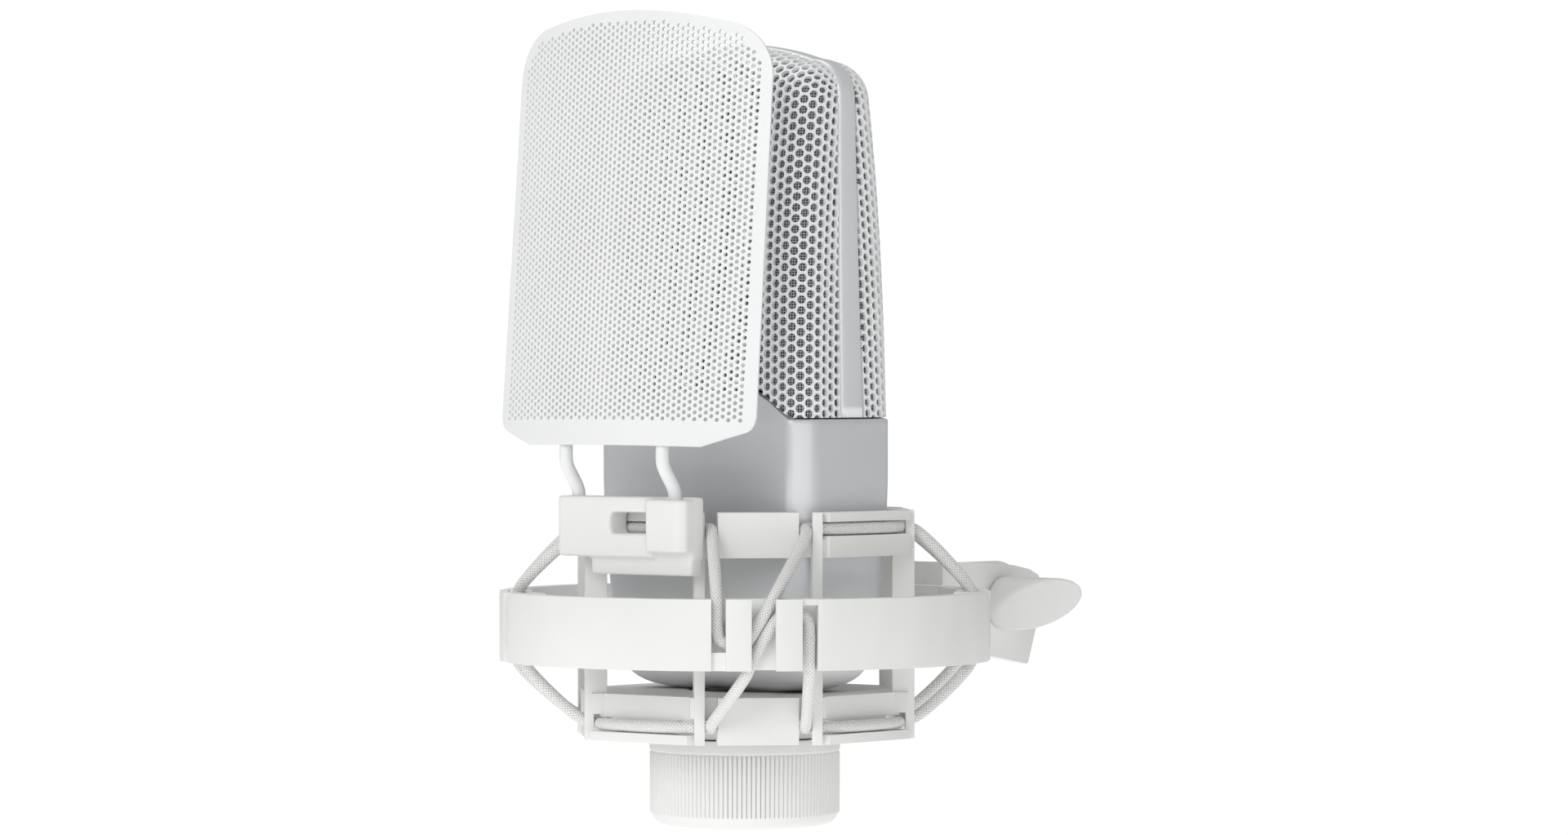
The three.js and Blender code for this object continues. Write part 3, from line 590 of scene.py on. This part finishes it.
def body_rings(inset, floor, heights):
    """Rings of one skin of the body, from its rounded bottom up to the given heights."""
    bowl, bowl_width = 6.5, 9.0
    least_half_y = 6
    steps = 9
    rings = []

    def ring(draw, z):
        half_y = BODY_HALF_Y - min(draw, BODY_HALF_Y - least_half_y)
        section = rounded_section(BODY_HALF_X - draw, half_y, BODY_CHAMFER - inset * 0.4, BODY_EDGE)
        return [(p.x, p.y, z) for p in section]

    for step in range(steps + 1):
        turn = step / steps * math.pi / 2
        draw = BODY_TAPER + inset + bowl_width * (1 - math.sin(turn))
        rings.append(ring(draw, floor + bowl * (1 - math.cos(turn))))
    for z in heights:
        share = max(0.0, (BODY_TAPER_TOP - z) / (BODY_TAPER_TOP - BODY_BOTTOM)) ** 1.6
        rings.append(ring(BODY_TAPER * share + inset, z))
    return rings


def at_rim(ring, drop, draw):
    """A ring at the rim, a drop below it and drawn inwards."""
    result = []
    for x, y, _ in ring:
        scale_x = 1 - draw / BODY_HALF_X
        scale_y = 1 - draw / BODY_HALF_Y
        result.append((x * scale_x, y * scale_y, rim_height(x) - drop))
    return result


def microphone_body():
    heights = [44, 52, 60, 68, 76, 83, 88]
    outer = body_rings(0.0, BODY_BOTTOM, heights)
    inner = body_rings(BODY_WALL, BODY_BOTTOM + BODY_WALL, heights)
    lip = 0.45
    rim = [at_rim(outer[-1], lip, 0.0), at_rim(outer[-1], lip * 0.3, lip * 0.3), at_rim(outer[-1], 0.0, lip),
           at_rim(inner[-1], 0.0, 0.0), at_rim(inner[-1], lip, 0.0)]
    shell = rings_object("mic_body_painted", outer + rim + inner[::-1])
    sharpen(shell, 32)
    return shell


# ---------------------------------------------------------------- ring nut
def ribbed_nut():
    """The ring nut with its ribs, as one section turned round the axis and drawn in between the ribs."""
    bore, top = 12.5, 19.2
    low, high = 2.6, 16.2        # of the ribs
    steps = 8                    # round each rib
    depth, steepness = 0.75, 2.2
    lower = [(bore, 0.0), (17.0, 0.0), (18.6, 0.35), (19.7, 1.1), (20.35, 2.1), (20.6, low)]
    ribbed = [(20.9, low + 0.3), (20.95, high - 0.3)]
    upper = [(20.7, high), (20.7, high + 0.25), (NUT_RADIUS, high + 0.5), (NUT_RADIUS, 18.8), (20.75, top),
             (bore, top)]
    rings = []
    segments = RIBS * steps
    for step in range(segments):
        angle = TAU * step / segments
        wave = min(1.0, steepness * abs(math.sin(math.pi * step / steps)))
        section = lower + [(radius - depth * (1 - wave), z) for radius, z in ribbed] + upper
        rings.append([(r * math.cos(angle), r * math.sin(angle), z) for r, z in section])
    count = len(rings[0])
    points = [point for ring in rings for point in ring]
    faces = []
    for step in range(segments):
        after = (step + 1) % segments
        for i in range(count):
            j = (i + 1) % count
            faces.append((step * count + i, after * count + i, after * count + j, step * count + j))
    nut = mesh_object("ring_nut_ribbed", points, faces)
    outward(nut)
    sharpen(nut, 40)
    return nut


# ---------------------------------------------------------------- elastic cords
UPPER_ROUTE = [
    (-13.9, 32.7, 65.9), (-12.7, 32.4, 65.9), (-11, 32.5, 65.9), (-10.2, 33.6, 65.9), (-10.17, 36.8, 64.9),
    (-10.1, 48.4, 52.8), (-10.0, 49.2, 50.9), (-10.0, 49.25, 44.6), (-9.5, 49.4, 42.9), (-8.2, 49.6, 42.0),
    (-6, 49.9, 41.9), (-3.9, 50.1, 42.2), (-2.9, 50.2, 43.4), (1.2, 50.2, 50.4), (2.6, 49.4, 52.8),
    (10.17, 36.8, 64.9), (10.2, 33.6, 65.9), (11, 32.5, 65.9), (12.7, 32.4, 65.9), (13.9, 32.7, 65.9),
]
LOWER_ROUTE = [
    (-13.9, 32.7, 23.1), (-12.7, 32.4, 23.1), (-11, 32.5, 23.1), (-10.2, 33.6, 23.1), (-10.17, 36.8, 24.1),
    (-3.9, 49.4, 35.1), (-3.0, 50.1, 37.3), (2.4, 50.2, 46.8), (3.6, 50.1, 47.8), (5.6, 49.9, 48.1),
    (7.9, 49.6, 48.0), (9.2, 49.4, 47.0), (9.6, 49.3, 45.2), (9.6, 49.2, 37.1), (9.7, 48.4, 35.1),
    (10.17, 36.8, 24.1), (10.2, 33.6, 23.1), (11, 32.5, 23.1), (12.7, 32.4, 23.1), (13.9, 32.7, 23.1),
]


def cord_path(route):
    """The whole round of a cord: from the rear face past four hook stations and back."""
    clearance, straight, seam = 0.15, 9, 0.2
    groove = CAGE_WALL_OUT + CORD_RADIUS + clearance
    height = route[0][2]

    def turned(angle, sideways, distance, z):
        return Vector((distance * math.cos(angle) - sideways * math.sin(angle),
                       distance * math.sin(angle) + sideways * math.cos(angle), z))

    points = [turned(math.pi / 2, seam, groove, height), turned(math.pi / 2, straight, groove, height)]
    for turn in range(4):
        station = math.pi * (0.75 + turn / 2)
        points += [turned(station, *spot) for spot in route]
        face = math.pi / 2 * (turn + 2)
        points += [turned(face, -straight, groove, height),
                   turned(face, straight if turn < 3 else -seam, groove, height)]
    return points


def elastic_cord(name, route):
    return tube(name, smooth_path(cord_path(route), step=0.9), CORD_RADIUS, sides=14)


# ---------------------------------------------------------------- pop filter
def screen_outline():
    """The filter's outline seen from the front, anticlockwise from its lower left, as (x, z)."""
    side, corner = 36.0, 12.0
    low, high = SCREEN_LOW, SCREEN_HIGH

    def bend(start, pull, end, steps=8):
        shares = [k / steps for k in range(1, steps + 1)]
        return [start.lerp(pull, share).lerp(pull.lerp(end, share), share) for share in shares]

    half = [Vector((24.5, low)), Vector((34.3, low + 3.3))]
    half += bend(half[-1], Vector((side + 0.4, low + 4.2)), Vector((side + 0.4, low + 7.5)))
    shoulder = high - corner - 2.6
    half.append(Vector((side, shoulder)))
    sweep, steps = math.pi * 0.46, 18
    for k in range(1, steps + 1):
        angle = sweep * k / steps
        half.append(Vector((side - corner + corner * math.cos(angle), shoulder + corner * math.sin(angle))))
    half += bend(half[-1], Vector((12, high)), Vector((0, high)), 16)
    return half + [Vector((-p.x, p.y)) for p in half[-2::-1]]


def screen_surface(x, z):
    """A point of the curved, leaning sheet from its place in the front view."""
    depth = SCREEN_RADIUS - math.sqrt(SCREEN_RADIUS ** 2 - x ** 2)
    rise = z - SCREEN_LOW
    y = -SCREEN_FRONT + depth * math.cos(SCREEN_LEAN) + rise * math.sin(SCREEN_LEAN)
    return (x, y, SCREEN_LOW + rise * math.cos(SCREEN_LEAN) - depth * math.sin(SCREEN_LEAN))


def pop_screen():
    margin, bottom_margin = 2.2, 5.6

    def has_hole(gap, centre):
        return gap > margin and centre.y > SCREEN_LOW + bottom_margin

    sheet = perforated("pop_filter_screen_perforated", screen_outline(), SCREEN_PITCH, SCREEN_HOLE, has_hole,
                       screen_surface, SCREEN_LOW - SCREEN_PITCH)
    with edited(sheet) as work:
        bmesh.ops.recalc_face_normals(work, faces=work.faces)
        if sum(face.normal.y for face in work.faces) > 0:
            bmesh.ops.reverse_faces(work, faces=work.faces)
    thicken(sheet, SCREEN_SHEET)
    return sheet


def rod(name, way):
    """A bent rod from behind the screen down into the clip, on the left (way -1) or the right (way 1)."""
    clearance = 0.25
    behind = SCREEN_FRONT - ROD_X ** 2 / (2 * SCREEN_RADIUS) - SCREEN_SHEET - ROD_RADIUS - clearance
    lean = math.tan(SCREEN_LEAN)
    profile = [(behind - lean * (z - SCREEN_LOW), z) for z in (101, 90)]
    profile += [(behind, SCREEN_LOW), (behind, 80.6), (behind - 0.5, 79.2), (39.9, 74.8), (39.4, 73.2),
                (39.4, 63.6)]
    points = [Vector((way * ROD_X, -front, z)) for front, z in profile]
    return tube(name, smooth_path(points, step=0.8), ROD_RADIUS, sides=24)


# ---------------------------------------------------------------- stand thread
def threaded_insert():
    """The metal insert with its 16 turns to the inch cut as a real helix."""
    low, high = extent("thread_insert")
    outer = (high.x - low.x) / 2
    pitch = 25.4 / 16
    core, depth, flank, wall = 4.76, 0.8, 1.4, 0.6
    around, along = 48, 56
    points, faces = [], []
    for row in range(along + 1):
        y = low.y + (high.y - low.y) * row / along
        for k in range(around):
            angle = TAU * k / around
            phase = ((y - low.y) / pitch - k / around) % 1
            radius = core + depth * min(1.0, abs(2 * phase - 1) * flank)
            radius = min(radius, outer - wall)
            points.append((radius * math.cos(angle), y, PIVOT_Z + radius * math.sin(angle)))
    for y in (high.y, low.y):
        for k in range(around):
            angle = TAU * k / around
            points.append((outer * math.cos(angle), y, PIVOT_Z + outer * math.sin(angle)))
    rows = along + 3
    for row in range(rows):
        after = (row + 1) % rows
        for k in range(around):
            j = (k + 1) % around
            faces.append((row * around + k, row * around + j, after * around + j, after * around + k))
    insert = mesh_object("thread_insert_cut", points, faces)
    outward(insert)
    sharpen(insert, 30)
    return insert


# ---------------------------------------------------------------- materials
BODY_METAL = 0.45


def new_material(name):
    material = bpy.data.materials.new(name)
    material.use_nodes = True
    return material, material.node_tree, material.node_tree.nodes["Principled BSDF"]


def noise(tree, scale, detail=3.0, roughness=0.5):
    place_node = tree.nodes.new("ShaderNodeTexCoord")
    node = tree.nodes.new("ShaderNodeTexNoise")
    node.inputs["Scale"].default_value = scale
    node.inputs["Detail"].default_value = detail
    node.inputs["Roughness"].default_value = roughness
    tree.links.new(place_node.outputs["Object"], node.inputs["Vector"])
    return node.outputs["Fac"]


def ramp(tree, value, stops):
    """Colours or greys at positions along a value."""
    node = tree.nodes.new("ShaderNodeValToRGB")
    elements = node.color_ramp.elements
    while len(elements) < len(stops):
        elements.new(0.5)
    for element, (position, colour) in zip(elements, stops):
        element.position = position
        element.color = (*colour, 1.0) if isinstance(colour, tuple) else (colour, colour, colour, 1.0)
    tree.links.new(value, node.inputs["Fac"])
    return node.outputs["Color"]


def calc(tree, operation, a, b=0.0):
    node = tree.nodes.new("ShaderNodeMath")
    node.operation = operation
    for socket, value in zip(node.inputs, (a, b)):
        if isinstance(value, (int, float)):
            socket.default_value = value
        else:
            tree.links.new(value, socket)
    return node.outputs[0]


def bump(tree, shader, height, strength, distance):
    node = tree.nodes.new("ShaderNodeBump")
    node.inputs["Strength"].default_value = strength
    node.inputs["Distance"].default_value = distance
    tree.links.new(height, node.inputs["Height"])
    tree.links.new(node.outputs["Normal"], shader.inputs["Normal"])


def surface_material(name, light, dark, rough, metal=0.0, coat=0.0, grain=1400.0, grain_depth=0.00003,
                     strength=0.25, blotch=35.0):
    """Paint, moulded plastic or metal: slow colour variation, uneven gloss and a fine surface grain."""
    material, tree, shader = new_material(name)
    slow = noise(tree, blotch, 4.0)
    tree.links.new(ramp(tree, slow, [(0.35, dark), (0.65, light)]), shader.inputs["Base Color"])
    uneven = noise(tree, blotch * 6, 3.0)
    tree.links.new(ramp(tree, uneven, [(0.3, rough[0]), (0.7, rough[1])]), shader.inputs["Roughness"])
    shader.inputs["Metallic"].default_value = metal
    shader.inputs["Coat Weight"].default_value = coat
    bump(tree, shader, noise(tree, grain, 2.0, 0.6), strength, grain_depth)
    return material


def foot_painted_reflection(material):
    """Paints the rounded bottom of the body paler and less metallic: a painted reflection of the pale floor
    below, which also lifts the shade there.
    """
    tree = material.node_tree
    shader = tree.nodes["Principled BSDF"]
    coordinates = tree.nodes.new("ShaderNodeTexCoord")
    split = tree.nodes.new("ShaderNodeSeparateXYZ")
    tree.links.new(coordinates.outputs["Object"], split.inputs[0])
    foot, top = place(0, 0, FOOT_PAINTED_REFLECTION[0]).z, place(0, 0, FOOT_PAINTED_REFLECTION[1]).z
    share = calc(tree, "DIVIDE", calc(tree, "SUBTRACT", split.outputs["Z"], foot), top - foot)
    share = ramp(tree, share, [(0.0, 1.0), (1.0, 0.0)])
    mix = tree.nodes.new("ShaderNodeMix")
    mix.data_type = "RGBA"
    colour = shader.inputs["Base Color"].links[0].from_socket
    tree.links.new(share, mix.inputs["Factor"])
    tree.links.new(colour, mix.inputs["A"])
    # the pale colour of the painted reflection on the foot
    mix.inputs["B"].default_value = (0.95, 0.95, 0.955, 1.0)
    tree.links.new(mix.outputs["Result"], shader.inputs["Base Color"])
    metal = calc(tree, "MULTIPLY", calc(tree, "SUBTRACT", 1.0, share), BODY_METAL)
    tree.links.new(metal, shader.inputs["Metallic"])


def woven_wire_painted_shade():
    """Square woven wire: grey wires passing over and under each other, with painted shade in the near-black
    openings and along the wires' sides.
    """
    material, tree, shader = new_material("woven_wire_painted_shade")
    pitch, half_wire, weave = 0.58, 0.24, 0.18
    coordinates = tree.nodes.new("ShaderNodeTexCoord")
    split = tree.nodes.new("ShaderNodeSeparateXYZ")
    tree.links.new(coordinates.outputs["UV"], split.inputs[0])
    heights = []
    for this, across in (("X", "Y"), ("Y", "X")):
        turns = calc(tree, "DIVIDE", split.outputs[this], pitch)
        centred = calc(tree, "ABSOLUTE", calc(tree, "SUBTRACT", calc(tree, "FRACT", turns), 0.5))
        wire = calc(tree, "SUBTRACT", 1.0, calc(tree, "DIVIDE", centred, half_wire))
        wire = calc(tree, "MAXIMUM", wire, 0.0)
        crossed = calc(tree, "DIVIDE", split.outputs[across], pitch)
        wave = calc(tree, "SINE", calc(tree, "MULTIPLY", crossed, math.pi))
        lift = calc(tree, "MULTIPLY", calc(tree, "MULTIPLY", wave, weave), calc(tree, "MINIMUM", wire, 1.0))
        heights.append(calc(tree, "ADD", calc(tree, "POWER", wire, 0.5), lift))
    height = calc(tree, "MAXIMUM", heights[0], heights[1])
    # painted shade: the openings are painted near black for the dark inside of the head seen through them,
    # the wires darken towards their sides and where they dip under, and their grey is kept low for the shade
    # on the rear half
    colours = [(0.0, (0.01, 0.011, 0.014)), (0.32, (0.02, 0.022, 0.028)), (0.44, (0.34, 0.36, 0.39)),
               (1.0, (0.72, 0.73, 0.76))]
    tree.links.new(ramp(tree, height, colours), shader.inputs["Base Color"])
    tree.links.new(ramp(tree, height, [(0.2, 0.9), (0.6, 0.4)]), shader.inputs["Roughness"])
    shader.inputs["Metallic"].default_value = 0.2
    bump(tree, shader, height, 0.8, 0.00012)
    return material


def braided_elastic():
    """A fine braided sleeve: two sets of crossing strands round the cord."""
    material, tree, shader = new_material("braided_elastic")
    coordinates = tree.nodes.new("ShaderNodeTexCoord")
    split = tree.nodes.new("ShaderNodeSeparateXYZ")
    tree.links.new(coordinates.outputs["UV"], split.inputs[0])
    strands, lay = 10.0, 1.25
    along = calc(tree, "MULTIPLY", split.outputs["X"], lay)
    around = calc(tree, "MULTIPLY", split.outputs["Y"], strands)
    waves = []
    for operation in ("ADD", "SUBTRACT"):
        phase = calc(tree, "MULTIPLY", calc(tree, operation, along, around), math.pi)
        waves.append(calc(tree, "ABSOLUTE", calc(tree, "SINE", phase)))
    height = calc(tree, "MAXIMUM", waves[0], waves[1])
    thread = noise(tree, 5200.0, 2.0)
    height = calc(tree, "ADD", height, calc(tree, "MULTIPLY", thread, 0.35))
    # painted shade: the valleys between the strands are painted darker than their crowns
    colours = [(0.3, (0.55, 0.55, 0.54)), (0.75, (0.78, 0.78, 0.77)), (1.0, (0.88, 0.88, 0.87))]
    tree.links.new(ramp(tree, height, colours), shader.inputs["Base Color"])
    tree.links.new(ramp(tree, thread, [(0.3, 0.75), (0.7, 0.95)]), shader.inputs["Roughness"])
    shader.inputs["Sheen Weight"].default_value = 0.25
    bump(tree, shader, height, 0.9, 0.00025)
    return material


def brushed_metal(name, light, dark, rough):
    """Turned or drawn metal with fine lines."""
    material, tree, shader = new_material(name)
    coordinates = tree.nodes.new("ShaderNodeTexCoord")
    stretch = tree.nodes.new("ShaderNodeMapping")
    stretch.inputs["Scale"].default_value = (900.0, 900.0, 6000.0)
    lines = tree.nodes.new("ShaderNodeTexNoise")
    lines.inputs["Scale"].default_value = 1.0
    lines.inputs["Detail"].default_value = 3.0
    tree.links.new(coordinates.outputs["Object"], stretch.inputs["Vector"])
    tree.links.new(stretch.outputs["Vector"], lines.inputs["Vector"])
    brushing = lines.outputs["Fac"]
    tree.links.new(ramp(tree, brushing, [(0.3, dark), (0.7, light)]), shader.inputs["Base Color"])
    tree.links.new(ramp(tree, brushing, [(0.3, rough[0]), (0.7, rough[1])]), shader.inputs["Roughness"])
    shader.inputs["Metallic"].default_value = 1.0
    bump(tree, shader, brushing, 0.2, 0.00002)
    return material


def circuit_laminate():
    """Green solder mask with paler copper runs under it."""
    material, tree, shader = new_material("circuit_laminate")
    coordinates = tree.nodes.new("ShaderNodeTexCoord")
    bricks = tree.nodes.new("ShaderNodeTexBrick")
    bricks.inputs["Scale"].default_value = 160.0
    bricks.inputs["Mortar Size"].default_value = 0.06
    bricks.inputs["Color1"].default_value = (0.02, 0.13, 0.06, 1.0)
    bricks.inputs["Color2"].default_value = (0.03, 0.16, 0.07, 1.0)
    bricks.inputs["Mortar"].default_value = (0.09, 0.32, 0.14, 1.0)
    tree.links.new(coordinates.outputs["Object"], bricks.inputs["Vector"])
    tree.links.new(bricks.outputs["Color"], shader.inputs["Base Color"])
    tree.links.new(ramp(tree, noise(tree, 300.0), [(0.3, 0.3), (0.7, 0.5)]), shader.inputs["Roughness"])
    bump(tree, shader, bricks.outputs["Fac"], 0.3, 0.00005)
    return material


BODY_PAINT = surface_material("body_paint", (0.74, 0.75, 0.765), (0.72, 0.73, 0.745), (0.3, 0.38),
                              metal=BODY_METAL, coat=0.15)
# painted reflection: the body's rounded bottom is painted paler
foot_painted_reflection(BODY_PAINT)
BAND_PAINT = surface_material("band_paint", (0.82, 0.83, 0.84), (0.8, 0.81, 0.82), (0.3, 0.38),
                              metal=0.35, coat=0.15)
GRILLE_PAINT = surface_material("grille_paint", (0.95, 0.955, 0.96), (0.93, 0.935, 0.94), (0.36, 0.46),
                                coat=0.15)
SCREEN_PAINT = surface_material("screen_paint", (0.86, 0.865, 0.87), (0.84, 0.845, 0.85), (0.4, 0.5),
                                coat=0.05)
WHITE_PLASTIC = surface_material("white_plastic", (0.85, 0.848, 0.84), (0.82, 0.818, 0.81), (0.46, 0.58),
                                 grain=2600.0, grain_depth=0.00004, strength=0.3)
# painted shade: a darker copy of the white plastic for the knob, whose end face turns away from the lamps
KNOB_SHADED_PLASTIC = surface_material("knob_plastic_painted_shade", (0.7, 0.697, 0.69), (0.66, 0.657, 0.65), (0.46, 0.58),
                                grain=2600.0, grain_depth=0.00004, strength=0.3)
BLACK_PLASTIC = surface_material("black_plastic", (0.03, 0.03, 0.033), (0.02, 0.02, 0.022), (0.4, 0.55),
                                 grain=2200.0)
WIRE = woven_wire_painted_shade()
ELASTIC = braided_elastic()
STEEL = brushed_metal("plain_steel", (0.62, 0.63, 0.65), (0.5, 0.51, 0.53), (0.25, 0.4))
BRASS = brushed_metal("turned_brass", (0.76, 0.58, 0.28), (0.62, 0.46, 0.2), (0.25, 0.4))
GOLD = brushed_metal("gold_plate", (0.85, 0.66, 0.3), (0.75, 0.56, 0.24), (0.2, 0.32))
BOARD = circuit_laminate()


# ---------------------------------------------------------------- pieces
finish_piece(microphone_body(), "microphone", ["mic_body"], BODY_PAINT)
finish_piece(side_band(), "microphone", ["grille_band"], BAND_PAINT)
for half_name, half_side in (("front", -1), ("rear", 1)):
    finish_piece(grille(f"{half_name}_grille_perforated", half_side), "microphone", [f"{half_name}_grille"],
                 GRILLE_PAINT)
    finish_piece(wire_cloth(f"{half_name}_wire_cloth", half_side), "microphone", [f"{half_name}_wire_mesh"],
                 WIRE)
finish_piece(ribbed_nut(), "nut", ["ring_nut"], WHITE_PLASTIC)
finish_piece(pop_screen(), "pop_filter", ["pop_filter_screen"], SCREEN_PAINT)
for rod_name, rod_way in (("left_rod", -1), ("right_rod", 1)):
    finish_piece(rod(f"{rod_name}_bent", rod_way), "pop_filter", [rod_name], SCREEN_PAINT)
finish_piece(threaded_insert(), "adapter", ["thread_insert"], STEEL)

MOULDED = {
    "cradle": ("microphone", 0.35), "outer_ring": ("ring", 0.35), "swivel_yoke": ("ring", 0.7),
    "stand_adapter": ("adapter", 0.5),
}
for node_name, (node_body, node_bevel) in MOULDED.items():
    finish_piece(refined(node_name, node_bevel), node_body, [node_name], WHITE_PLASTIC)

finish_piece(softened("rod_clip", 0.3, 36), "pop_filter", ["rod_clip"], WHITE_PLASTIC)
# painted shade: the knob gets the darker copy of the white plastic
finish_piece(refined("clamp_knob", 0.9, 4), "knob", ["clamp_knob"], KNOB_SHADED_PLASTIC)

for cord_name, cord_route, fixed_z, moving_z in (("upper_cord", UPPER_ROUTE, 43.0, 64.0),
                                                 ("lower_cord", LOWER_ROUTE, 47.0, 25.0)):
    loop = elastic_cord(f"{cord_name}_braided", cord_route)
    loop.data.materials.append(ELASTIC)
    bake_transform(loop)
    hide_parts(cord_name)

CARRIED = {
    "body_paint": BODY_PAINT, "grille_paint": GRILLE_PAINT, "mesh_wire": WIRE, "white_plastic": WHITE_PLASTIC,
    "elastic_cord": ELASTIC, "screen_paint": SCREEN_PAINT, "steel": STEEL, "brass": BRASS, "gold": GOLD,
    "black_plastic": BLACK_PLASTIC, "board": BOARD,
}
for part in frame["record"]["subparts"]:
    kept = NODES[part["node"]]
    for material_slot in kept.material_slots:
        material_slot.material = CARRIED[part["material_slot"]]


# ---------------------------------------------------------------- stage
def floor_material():
    material, tree, shader = new_material("pale_floor")
    tree.links.new(ramp(tree, noise(tree, 3.0), [(0.3, 0.9), (0.7, 0.92)]), shader.inputs["Base Color"])
    shader.inputs["Roughness"].default_value = 0.9
    shader.inputs["Emission Color"].default_value = (1.0, 1.0, 1.0, 1.0)
    shader.inputs["Emission Strength"].default_value = 0.5
    return material


def stage():
    """A round pale floor, low enough that the microphone clears it at every tilt."""
    drop, radius, corners = 130.0, 1500.0, 96
    angles = [TAU * i / corners for i in range(corners)]
    points = [(radius * math.cos(angle), radius * math.sin(angle), -drop) for angle in angles]
    ground = mesh_object("floor", points, [tuple(range(corners))], smooth=False)
    ground.data.materials.append(floor_material())


def lamp(name, azimuth, height, distance, size, power):
    """A soft area light aimed at the middle of the microphone. Azimuth 0 is in front of it."""
    data = bpy.data.lights.new(name, "AREA")
    data.shape = "RECTANGLE"
    data.size, data.size_y = size
    data.energy = power
    light = bpy.data.objects.new(name, data)
    turn = math.radians(azimuth)
    target = place(0, 0, 90)
    light.location = target + Vector((distance * math.sin(turn), -distance * math.cos(turn), height))
    light.rotation_euler = (target - light.location).to_track_quat("-Z", "Y").to_euler()
    bpy.context.scene.collection.objects.link(light)


def camera():
    azimuth, distance, height = math.radians(40.25), 1386.0, 103.35
    data = bpy.data.cameras.new("camera")
    data.sensor_width = 36.0
    data.lens = 144.4
    data.shift_x = 0.025
    data.shift_y = -0.0398
    data.clip_start = 0.05
    data.clip_end = 50.0
    view = bpy.data.objects.new("camera", data)
    view.location = place(distance * math.sin(azimuth), -distance * math.cos(azimuth), height)
    view.rotation_euler = (math.pi / 2, 0.0, azimuth)
    bpy.context.scene.collection.objects.link(view)
    bpy.context.scene.camera = view


def surroundings():
    """A white studio. It is seen brighter than it lights, so that the shading keeps its depth."""
    world = bpy.data.worlds.new("studio")
    world.use_nodes = True
    tree = world.node_tree
    light = tree.nodes["Background"]
    light.inputs["Strength"].default_value = 0.39
    backdrop = tree.nodes.new("ShaderNodeBackground")
    for background in (light, backdrop):
        background.inputs["Color"].default_value = (1.0, 1.0, 1.0, 1.0)
    backdrop.inputs["Strength"].default_value = 1.05
    seen = tree.nodes.new("ShaderNodeLightPath")
    mix = tree.nodes.new("ShaderNodeMixShader")
    tree.links.new(seen.outputs["Is Camera Ray"], mix.inputs[0])
    tree.links.new(light.outputs[0], mix.inputs[1])
    tree.links.new(backdrop.outputs[0], mix.inputs[2])
    tree.links.new(mix.outputs[0], tree.nodes["World Output"].inputs["Surface"])
    scene = bpy.context.scene
    scene.world = world
    scene.view_settings.view_transform = "Standard"


stage()
surroundings()
lamp("key", azimuth=14, height=0.75, distance=1.7, size=(1.1, 0.9), power=11)
lamp("fill", azimuth=46, height=0.2, distance=1.9, size=(0.5, 0.9), power=1.8)
lamp("top", azimuth=-70, height=1.7, distance=0.5, size=(1.4, 1.4), power=9)
camera()
